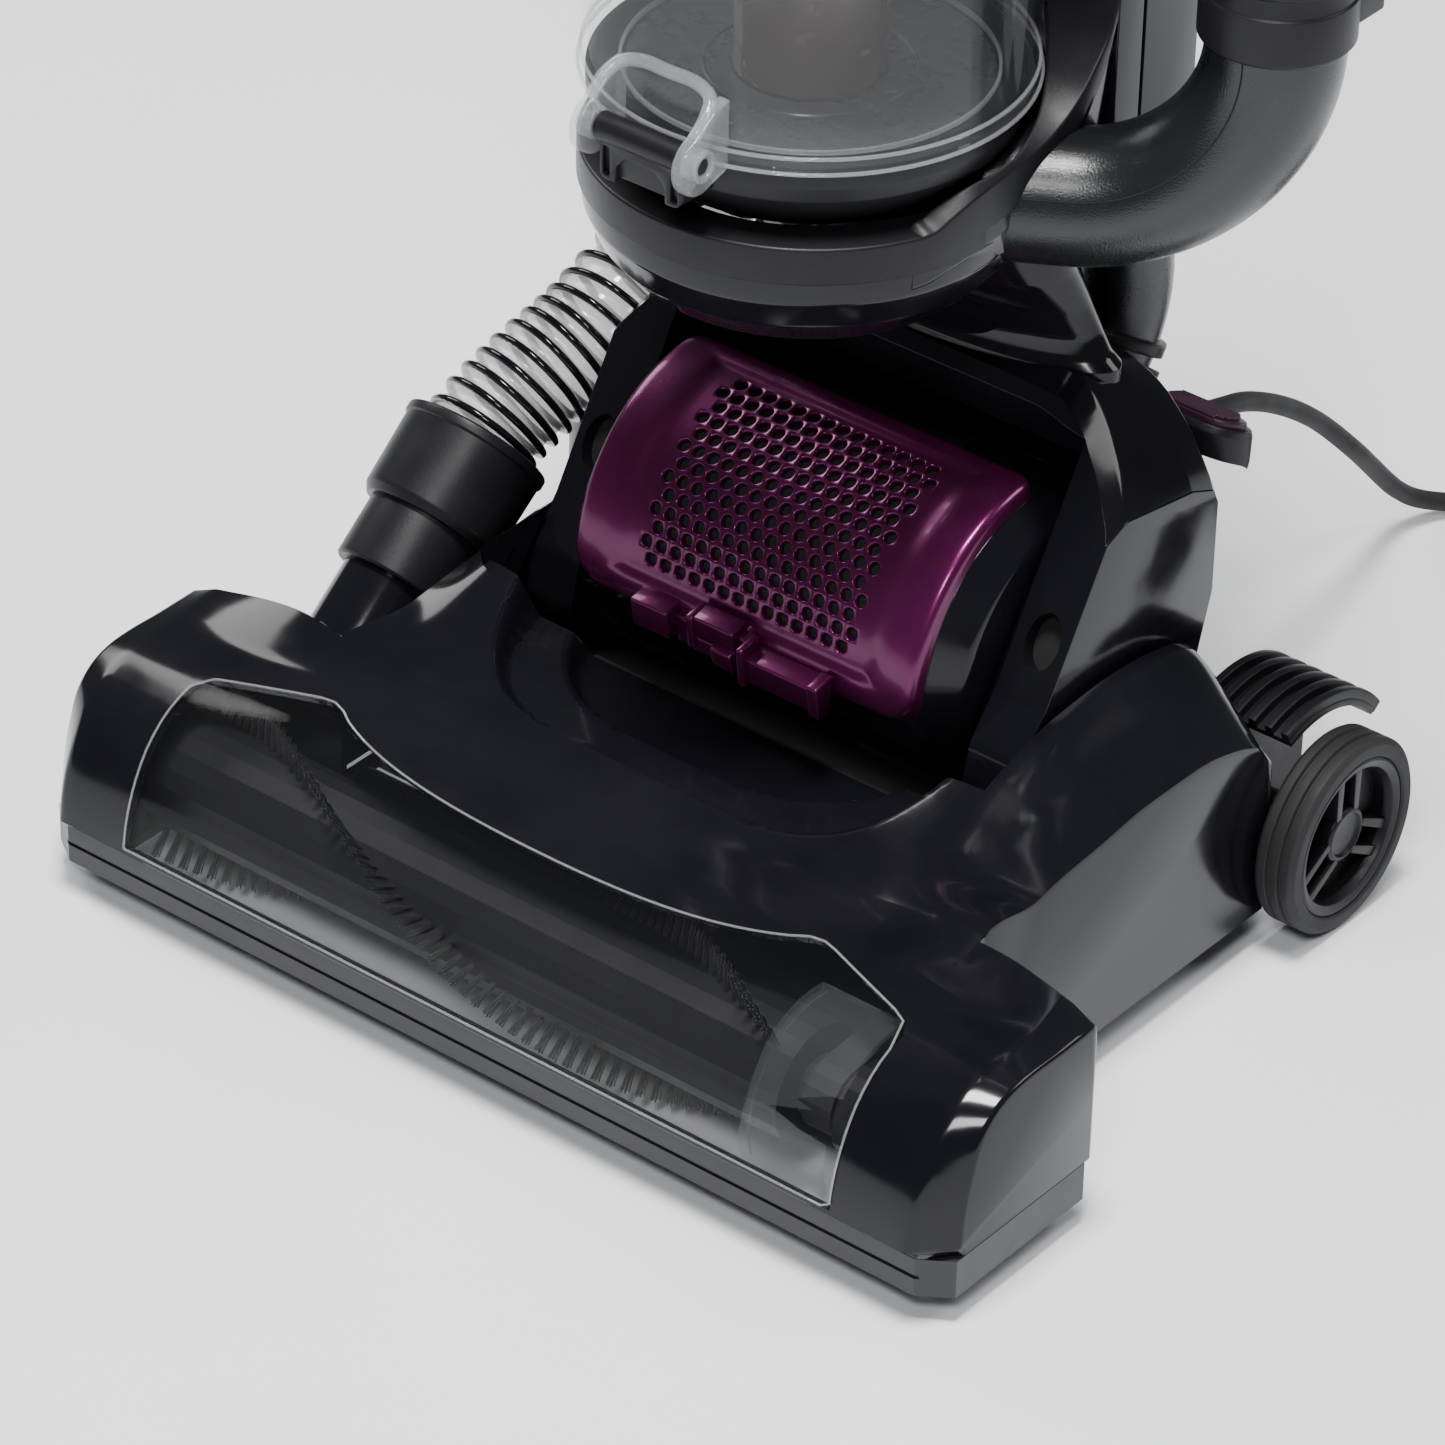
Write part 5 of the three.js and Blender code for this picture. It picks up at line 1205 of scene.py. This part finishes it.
# ------------------------------------------------------------------ mains lead
LEAD = [(58.6, 243, 129.5), (58, 258, 125), (55, 276, 117.6), (50.4, 301, 103), (44.6, 330, 82),
    (38.6, 362, 54), (34.9, 377.9, 39.3), (31.1, 393.8, 24.5), (30.2, 401.9, 17.1), (31, 410.5, 10.4),
    (34.2, 419.9, 5.7), (40.2, 428.8, 3.5), (47.9, 436.6, 3.1), (55.7, 444.4, 3.1), (66, 454.8, 3.1)]
LEAD_TO_COIL = [(76, 464.8, 3.1)]
COIL = {"x": 124, "y": 437, "inner": 22.75, "outer": 53.25, "floor": 3.1, "pitch": 6.1, "layers": 4,
    "columns": 6, "start": 135, "end": 20}
TAIL = [(178.2, 446, 21.4), (180.6, 435, 21.3), (181, 425, 19.8), (180.4, 417, 17.8), (180, 411, 16)]
CORD_RADIUS = 3


def coil_point(turn):
    """The cord's middle after some turns: layers wound in and out, with a climb between them."""
    pitch, spiral = COIL["pitch"], COIL["columns"] - 1
    layer = min(int(turn // COIL["columns"]), COIL["layers"] - 1)
    inwards = layer % 2 == 0
    part = turn - layer * COIL["columns"]
    climb = part - spiral if part > spiral and layer < COIL["layers"] - 1 else 0
    across = (part - climb) * pitch
    bulge = 2.3 * sin(pi * climb)
    radius = COIL["outer"] - across - bulge if inwards else COIL["inner"] + across + bulge
    angle = radians(COIL["start"] - 360 * turn)
    height = COIL["floor"] + (layer + smoothstep(climb)) * pitch
    return at(COIL["x"] + radius * cos(angle), COIL["y"] + radius * sin(angle), height)


def mains_cord():
    turns = COIL["layers"] * COIL["columns"] - 1 + (COIL["start"] - COIL["end"]) / 360
    steps = round(turns * 40)
    coil = [coil_point(turns * k / steps) for k in range(steps + 1)]
    lead = spline([at(*p) for p in LEAD + LEAD_TO_COIL] + coil[:2], 10)[:-10]
    tail = spline(coil[-2:] + [at(*p) for p in TAIL], 8)[8:]
    route = lead + coil[:-1] + tail
    length = sum((b - a).length for a, b in zip(route, route[1:]))
    cable = tube("mains_cord", route, CORD_RADIUS, RUBBER, 16)
    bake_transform(cable)
    takes_place(cable, "cord", "cord_coil")
    tuple(route[0])
    [tuple(p) for p in route]


mains_cord()


# ------------------------------------------------------------------ brush roll
BRUSH = {"y": 30, "z": 33, "core": 18, "tip": 27}
TUFT = {"middle": 3.05, "twist": 0.0201}


def bristle_row(name, phase):
    """Tufts along a helix that runs most of a turn from end to end."""
    points, faces = [], []
    for k in range(58):
        x = mix(-131, 89, k / 57)
        angle = phase + TUFT["middle"] + TUFT["twist"] * (x + 21)
        c, s = cos(angle), sin(angle)
        for strand in range(7):
            turn = 2 * pi * strand / 7
            spread = 0 if strand == 0 else 1
            lean_x, lean_w = spread * cos(turn), spread * sin(turn)
            length = BRUSH["tip"] - 0.5 * ((strand * 37 + k * 17) % 10) / 10
            start = len(points)
            for radius, out, thick in ((BRUSH["core"] - 1, 0.55, 0.36), (length, 1.2, 0.26)):
                for corner in range(4):
                    a = pi / 2 * corner
                    u = x + out * lean_x + thick * cos(a)
                    w = out * lean_w + thick * sin(a)
                    points.append(at(u, BRUSH["y"] + radius * c - w * s, BRUSH["z"] + radius * s + w * c))
            faces += [(start + i, start + (i + 1) % 4, start + 4 + (i + 1) % 4, start + 4 + i)
                for i in range(4)]
            faces.append((start + 4, start + 5, start + 6, start + 7))
    return add_mesh(name, points, faces, BRISTLE)


for row_name, row_phase in (("bristles_a", 0), ("bristles_b", pi)):
    stands_for(bristle_row(row_name + "_tufts", row_phase), "brush_roll", row_name)


# ------------------------------------------------------------------ dust bin
HINGE = {"y": 68.4, "z": 271.6, "radius": 4, "half": 15}


def about_bin(name, profile, material, segments=144):
    return lathe(name, profile, (0, BIN["y"], 0), material, "z", segments)


def about_hinge(name, profile, material, segments):
    return lathe(name, profile, (0, HINGE["y"], HINGE["z"]), material, "x", segments)


def hinge_lug(side):
    outline = [(HINGE["y"] + 8.6 * cos(radians(a)), HINGE["z"] + 8.6 * sin(radians(a)))
        for a in range(-62, -262, -12)]
    outline += [(74.5, 285.5, 2), (80, 287, 1), (79.5, 266, 1)]
    lug = plate("lug", outline, "x", side * 15.5, side * 19.2, CLEAR_EDGE, 0.9)
    bushing = [(2.8, side * 15.3, 0.3), (4.6, side * 15.3, 0.4), (4.6, side * 20.3, 0.6),
        (2.8, side * 20.3, 0.4)]
    return [lug, about_hinge("bushing", bushing, CLEAR_EDGE, 48)]


def bin_cup():
    wall = about_bin("cup", [(62.8, 266.8, 0.4), (62.8, 268.6, 0.4), (62.2, 269.2, 0.3), (62.3, 271, 0.3),
        (61.7, 271.6, 0.3), (64.2, 474), (62, 474), (59.6, 272, 1), (58.4, 269.4, 0.8),
        (58.4, 266.8, 0.3)], CLEAR)
    lip = about_bin("floor_ring", rect(50.6, 51.6, 267, 268.4, 0.2), CLEAR_EDGE)
    rims = [about_bin("rim", rect(r - 0.5, r + 0.5, z - 0.5, z + 0.5, 0.3), CLEAR_EDGE)
        for r, z in ((62.4, 267.4), (61.6, 271.6))]
    arch = [(-17.4, 67, 279.5), (-17.3, 72, 284), (-15, 76.4, 287.2), (-9, 78.2, 288.6), (0, 77.6, 289),
        (9, 78.2, 288.6), (15, 76.4, 287.2), (17.3, 72, 284), (17.4, 67, 279.5)]
    brow = tube("brow", spline([at(*p) for p in arch], 10), 1.9, CLEAR_EDGE, 20)
    shelf = plate("shelf", rect(-16.5, 16.5, 277, 286, 1, 3), "y", 76.4, 78.4, CLEAR, 0.5)
    return merge("bin_cup_clear", [wall, lip, brow, shelf] + rims + hinge_lug(-1) + hinge_lug(1))


stands_for(bin_cup(), "dust_bin", "bin_cup")


def bin_door():
    dish = about_bin("dish", [(0.05, 243), (44, 243, 3), (47.5, 244, 2), (52.5, 249, 3), (58.8, 257, 3),
        (60.4, 262, 2), (60.4, 266.3, 0.4), (58.2, 266.4, 0.3), (0.05, 266.4)], SATIN)
    floor = about_bin("floor", [(21.6, 266.45), (28.2, 266.45), (28.6, 267, 0.2), (29.2, 267, 0.2),
        (29.6, 266.45), (50, 266.45), (50, 266.2), (21.6, 266.2)], DOOR_GREY)
    bar = about_hinge("bar", rod(HINGE["radius"], -HINGE["half"], HINGE["half"], 0.6), SATIN, 48)
    pins = about_hinge("pins", rod(2.4, -19.4, 19.4, 0.3), SATIN, 24)
    web = plate("web", rect(-13.8, 13.8, 271, 257, 0, 3), "y", 66.4, 70.4, SATIN, 0)
    cuts = [plate("cut", [(-8.6, 255), (8.6, 255), (8.2, 262, 2), (5, 265.4, 3), (-5, 265.4, 3),
        (-8.2, 262, 2)], "y", 60, 75, SATIN, 0)]
    cuts += [plate("cut", rect(s * 10.4, s * 12.6, 258.6, 267, 0.6), "y", 60, 75, SATIN, 0)
        for s in (-1, 1)]
    carve(web, cuts)
    soften(web, 0.5, 2)
    hood_plate = plate("arm", [(68, 258, 1), (84, 258), (84, 266), (72, 266, 1), (70, 270, 1),
        (67, 270, 1)], "x", -13.6, 13.6, SATIN, 0.5)
    return merge("bin_door_black", [dish, floor, bar, pins, web, hood_plate])


stands_for(bin_door(), "bin_door", "bin_door")


# Dark dots of 1 mm radius painted on the shroud: painted shade where its holes are.
DOTS = {"rows": 26, "columns": 88, "reach": 47.06, "low": 362, "pitch": 3.2}


def bin_insides():
    tube_part = about_bin("cyclone_brown", [(21, 266.9, 0.4), (21, 332, 4), (30, 346, 4), (42, 350, 2),
        (42, 446, 1), (58.4, 450, 2), (58.4, 456, 1), (39, 460), (39, 354), (18.6, 334), (18.6, 266.9)],
        SMOKE)
    stands_for(tube_part, "dust_bin", "cyclone")
    screen = about_bin("screen", [(52, 344, 0.5), (54, 346, 0.8), (47, 360, 3), (47, 446.4, 0.5),
        (44.6, 446.4), (44.6, 358), (50, 345)], STEEL)
    points, faces = [], []
    for row in range(DOTS["rows"]):
        for k in range(DOTS["columns"]):
            angle = 2 * pi * (k + row % 2 / 2) / DOTS["columns"]
            faces.append(tuple(range(len(points), len(points) + 8)))
            for b in circle(8):
                a = angle + cos(b) / DOTS["reach"]
                z = DOTS["low"] + row * DOTS["pitch"] + sin(b)
                points.append(at(DOTS["reach"] * cos(a), BIN["y"] + DOTS["reach"] * sin(a), z))
    # Flat dark dots on the screen: painted shade in place of its holes.
    dots = add_mesh("dots", points, faces, SHADE_AND_SEAM, 180)
    stands_for(merge("shroud_steel", [screen, dots]), "dust_bin", "shroud")


bin_insides()


def bin_lid():
    top = BIN["top"]
    dome = about_bin("dome", [(20, 474.3), (top + 1.4, 474.3, 0.8), (top + 1.4, 486, 3), (top - 2, 496, 5),
        (56, 508, 8), (44, 516, 8), (26, 520, 6), (0.05, 520)], PURPLE)
    outer = [(78, 490), (76, 520, 12), (80, 544, 12), (92, 556, 10), (112, 560, 10), (140, 557, 12),
        (166, 546, 12), (184, 526, 12), (190, 500, 10), (176, 490)]
    inner = [(94, 506, 4), (91, 524, 8), (94, 538, 6), (102, 545, 6), (116, 547, 8), (138, 544, 8),
        (158, 534, 8), (170, 520, 6), (176, 508, 4)]
    arch = slab("arch", [(-13, outer), (13, outer)], GLOSS, 3, 35, 5)
    gap = slab("gap", [(-20, inner), (20, inner)], GLOSS, 0.4, 35)
    well = plate("well", rect(-8.4, 8.4, 99.6, 120.4, 1), "z", 553, 570, GLOSS, 0)
    carve(arch, [gap, well])
    soften(arch, 1.0, 3, 50)
    return merge("bin_lid_dressed", [dome, arch])


stands_for(bin_lid(), "dust_bin", "bin_lid")


# ------------------------------------------------------------------ spine, handle and controls
SPINE = {"front": 186.6, "rear": 224, "foot": 206.6, "top": 636, "half": 46}


def spine():
    half = [(BODY_X, SPINE["foot"], 1), (BODY_X, 300, 6), (60, 326, 10), (50, 352, 12),
        (SPINE["half"], 380, 12), (SPINE["half"], 612, 8), (42, 626, 8), (30, 634, 6),
        (16, SPINE["top"], 4)]
    face = half + [(-x, z, r) for x, z, r in reversed(half)]
    column = plate("column", face, "y", SPINE["front"], SPINE["rear"], GLOSS, 0)
    bay = about_bin("bay", rod(BIN["top"] + 2.6, 200, 572), GLOSS)
    chase = plate("chase", rect(-40, 40, 200, 540), "y", 208, 221, GLOSS, 0)
    grooves = [plate("groove", rect(s * 70, s * 65, 214, 292), "y", 198, 199.2, SHADE_AND_SEAM, 0) for s in (-1, 1)]
    carve(column, [bay, chase] + grooves)
    soften(column, 1.2, 3, 40)
    foot_cup = lathe("cup", [(14, 206.6), (20, 206.6, 1), (22, 209, 2), (22, 243, 1), (14, 244)],
        (-74, 228, 0), GLOSS, "z", 64)
    hook = plate("hook", [(223, 396), (247.5, 396, 1), (247.5, 370, 2), (242.5, 370, 2), (242.5, 392, 4),
        (223, 408)], "x", -7, 7, SATIN, 0.8)
    bracket = plate("shelf", [(-88, 324, 3), (-48, 290), (-46, 336), (-88, 336, 3)], "y", 194, 219,
        SATIN, 1)
    clip = lathe("clip", [(16.8, 392, 0.5), (20.4, 392, 0.8), (20.4, 408, 0.8), (16.8, 408, 0.5)],
        (-73.6, 206, 0), SATIN, "z", 64)
    web = plate("web", [(-58, 392, 1), (-44, 392), (-44, 408), (-58, 408, 1)], "y", 198, 214, SATIN, 0.6)
    return merge("spine_black", [column, foot_cup, hook, bracket, clip, web])


stands_for(spine(), "body", "spine")


GRIP = {"half_x": 12, "half_out": 9.6}


def handle():
    pole = lathe("handle_tube_steel", [(12.4, 560), (14, 560, 0.4), (14, 968, 0.4), (12.4, 968)],
        (0, 207, 0), STEEL, "z", 96)
    stands_for(pole, "body", "handle_tube")
    loop = [(207, 992), (228, 1000), (241, 1020), (241.4, 1046), (226, 1065), (196, 1069.6), (171, 1060),
        (160, 1038), (166, 1012), (184, 994)]
    path = spline([at(0, y, z) for y, z in loop], 10, closed=True)
    across = Vector((1, 0, 0))
    rows = []
    for i, p in enumerate(path):
        along = (path[(i + 1) % len(path)] - path[i - 1]).normalized()
        out = along.cross(across).normalized()
        rows.append([p + (across * cos(a) * GRIP["half_x"] + out * sin(a) * GRIP["half_out"]) * MM
            for a in circle(40)])
    grip = skin("grip", rows + rows[:1], SATIN, caps=False)
    socket = lathe("socket", [(14.2, 948), (17, 948, 0.6), (18, 950, 1), (18, 976, 3), (14, 998, 3),
        (0.05, 1000)], (0, 207, 0), SATIN)
    stands_for(merge("handle_grip_black", [grip, socket]), "body", "handle_grip")


handle()


def pedal():
    """A tab behind the hood whose outer end is round seen from above, with ribs on its sloping top."""

    def tab(name, outline, material, reach):
        rows = []
        for k in range(26):
            x = mix(58, 76, k / 9) if k < 10 else 76 + reach * sin(radians((k - 9) * 90 / 16))
            squeeze = 1 if x <= 76 else sqrt(max(1 - ((x - 76) / (reach + 0.02)) ** 2, 0.002))
            rows.append([at(x, mix(231, p.x, squeeze), p.y + (p.x - 231) * (1 - squeeze) * 0.42)
                for p in rounded(outline, 4)])
        return skin(name, rows, material, sharp=38)

    body = tab("pedal", [(221.4, 142.6, 1), (223, 144.6, 1), (238.6, 138, 1), (240, 135.6, 1),
        (238.6, 128, 1.6), (236, 127, 1.6), (222.4, 134, 1)], SATIN, 11)
    cap = tab("cap", [(223.4, 143.6, 0.6), (224, 146.2, 0.8), (237.4, 140.6, 0.8), (237.8, 137.8, 0.6)],
        PEDAL_PURPLE, 9.4)
    ribs = []
    for k in range(7):
        y = mix(225, 236.4, k / 6)
        long = 82.4 - 0.16 * (y - 231) ** 2 / 2
        place = (0, y, mix(146.1, 141.3, k / 6))
        ribs.append(lathe("rib", rod(0.75, 60, long, 0.3, 0.4), place, PEDAL_PURPLE, "x", 16))
    return merge("recline_pedal_black", [body, cap] + ribs)


stands_for(pedal(), "recline_pedal", "recline_pedal")


# ------------------------------------------------------------------ wheels
WHEEL = {"y": 222.6, "radius": 30.3, "outer": 138, "width": 13.5}
SPOKES = {"angles": (90, 210, 330), "off": 4.2}
FENDER = {"near": 92, "far": 123.6, "ribs": 6, "half_rib": 1.3}


def about_axle(name, profile, material, side, segments=96):
    turned = [(p[0], side * p[1], *p[2:]) for p in profile]
    return lathe(name, turned, (0, WHEEL["y"], WHEEL["radius"]), material, "x", segments)


def wheel(side, word):
    inner, outer = WHEEL["outer"] - WHEEL["width"], WHEEL["outer"]
    r = WHEEL["radius"]

    def groove(start):
        return [(r, start, 0.3), (r - 1.2, start + 0.5, 0.4), (r - 1.2, start + 1.1, 0.4),
            (r, start + 1.6, 0.3)]

    tread = [(24.7, inner, 0.5), (29.4, inner, 0.8), (r, inner + 1.2, 1), *groove(inner + 3.7),
        *groove(outer - 5.6), (r, outer - 1.6, 1.2), (28.6, outer - 0.2, 0.8), (25.4, outer - 0.2, 0.6),
        (24.7, outer - 0.8, 0.3)]
    stands_for(about_axle("tyre_rubber", tread, RUBBER, side, 128), f"wheel_{word}", f"tyre_{word}")
    rim = about_axle("rim", [(20.6, inner, 0.4), (24.6, inner, 0.4), (24.6, outer - 1, 0.4),
        (23.6, outer - 0.6, 0.4), (21.4, outer - 1.4, 0.6), (20.4, outer - 4, 0.8)], SATIN, side)
    web = about_axle("web", rect(5, 21, inner + 3, inner + 6), SATIN, side)
    boss = about_axle("boss", [(4.2, inner), (8.6, inner, 0.4), (8.6, outer - 3, 0.8),
        (7, outer - 2.2, 0.6), (6.4, outer - 3.4, 0.5), (0.05, outer - 3.4)], SATIN, side)
    pieces = [rim, web, boss]
    for angle in SPOKES["angles"]:
        for off in (-SPOKES["off"], SPOKES["off"]):
            bar = plate("spoke", [(6.8, off - 1.2, 0.3), (21.6, off - 1.6, 0.3), (21.6, off + 1.6, 0.3),
                (6.8, off + 1.2, 0.3)], "x", side * (inner + 5), side * (outer - 2.6), SATIN, 0.5)
            turn = radians(angle)
            for vertex in bar.data.vertices:
                x, y, z = place_of(vertex.co)
                vertex.co = at(x, WHEEL["y"] + y * cos(turn) - z * sin(turn),
                    WHEEL["radius"] + y * sin(turn) + z * cos(turn))
            pieces.append(bar)
    stands_for(merge(f"wheel_{word}_black", pieces), f"wheel_{word}", f"wheel_{word}")


def arc_band(x0, x1, inner, outer, a0, a1, material):
    """A rounded band about the wheel's axle between two angles, 0 at the front and 90 at the top."""
    section = rounded(rect(x0, x1, inner, outer, 0.2, 0.6), 3)
    rows = []
    for k in range(33):
        a = radians(mix(a0, a1, k / 32))
        rows.append([at(p.x, WHEEL["y"] - p.y * cos(a), WHEEL["radius"] + p.y * sin(a)) for p in section])
    return skin("band", rows, material)


def fender(side, word):
    near, far, half = FENDER["near"], FENDER["far"], FENDER["half_rib"]
    pieces = [arc_band(side * near, side * far, 34.8, 37, 67, 140, SATIN)]
    for k in range(FENDER["ribs"]):
        x = near + 1.6 + k * (far - near - 3.2) / (FENDER["ribs"] - 1)
        pieces.append(arc_band(side * (x - half), side * (x + half), 36, 40, 67, 142, SATIN))
    wall = about_axle("wall", [(4.4, near), (36, near, 0.4), (36, near + 8, 0.6), (4.4, near + 8)],
        SATIN, side)
    limits = ((150, 208.8, -20, 120), (150, 290, -20, 8.2), (251, 290, -20, 120))
    carve(wall, [plate("limit", rect(*box), "x", -140, 140, SATIN, 0) for box in limits])
    stands_for(merge(f"fender_{word}_black", pieces + [wall]), "floor_head", f"fender_{word}")


for sign, name in ((-1, "left"), (1, "right")):
    wheel(sign, name)
    fender(sign, name)


# ------------------------------------------------------------------ stage
def make_stage():
    bpy.ops.mesh.primitive_plane_add(size=12, location=(0, 0, -0.0004))
    floor = bpy.context.object
    floor.name = "floor"
    material, tree, shader = new_material("floor")
    tint(tree, shader, noise(tree, 3.0, 4.0, 0.6), (0.84, 0.85, 0.875), (0.89, 0.90, 0.92))
    set_inputs(shader, {"Roughness": 0.55})
    floor.data.materials.append(material)
    world = bpy.data.worlds.new("studio")
    bpy.context.scene.world = world
    world.use_nodes = True
    set_inputs(world.node_tree.nodes["Background"], {"Color": (0.86, 0.88, 0.92, 1), "Strength": 0.12})
    lamps = [("key", (0.15, -0.3, 2.3), 0.55, 92), ("left", (-2.1, 0.35, 1.7), 1.1, 30),
        ("right", (1.3, 1.3, 1.8), 0.9, 18), ("front", (0.9, -1.6, 2.0), 0.5, 30)]
    for name, place, size, power in lamps:
        data = bpy.data.lights.new(name, "AREA")
        data.shape, data.size, data.energy = "SQUARE", size, power
        lamp = new_object(name, data)
        lamp.location = place
        lamp.rotation_mode = "QUATERNION"
        lamp.rotation_quaternion = (Vector((0, 0, 0.1)) - Vector(place)).to_track_quat("-Z", "Y")


make_stage()
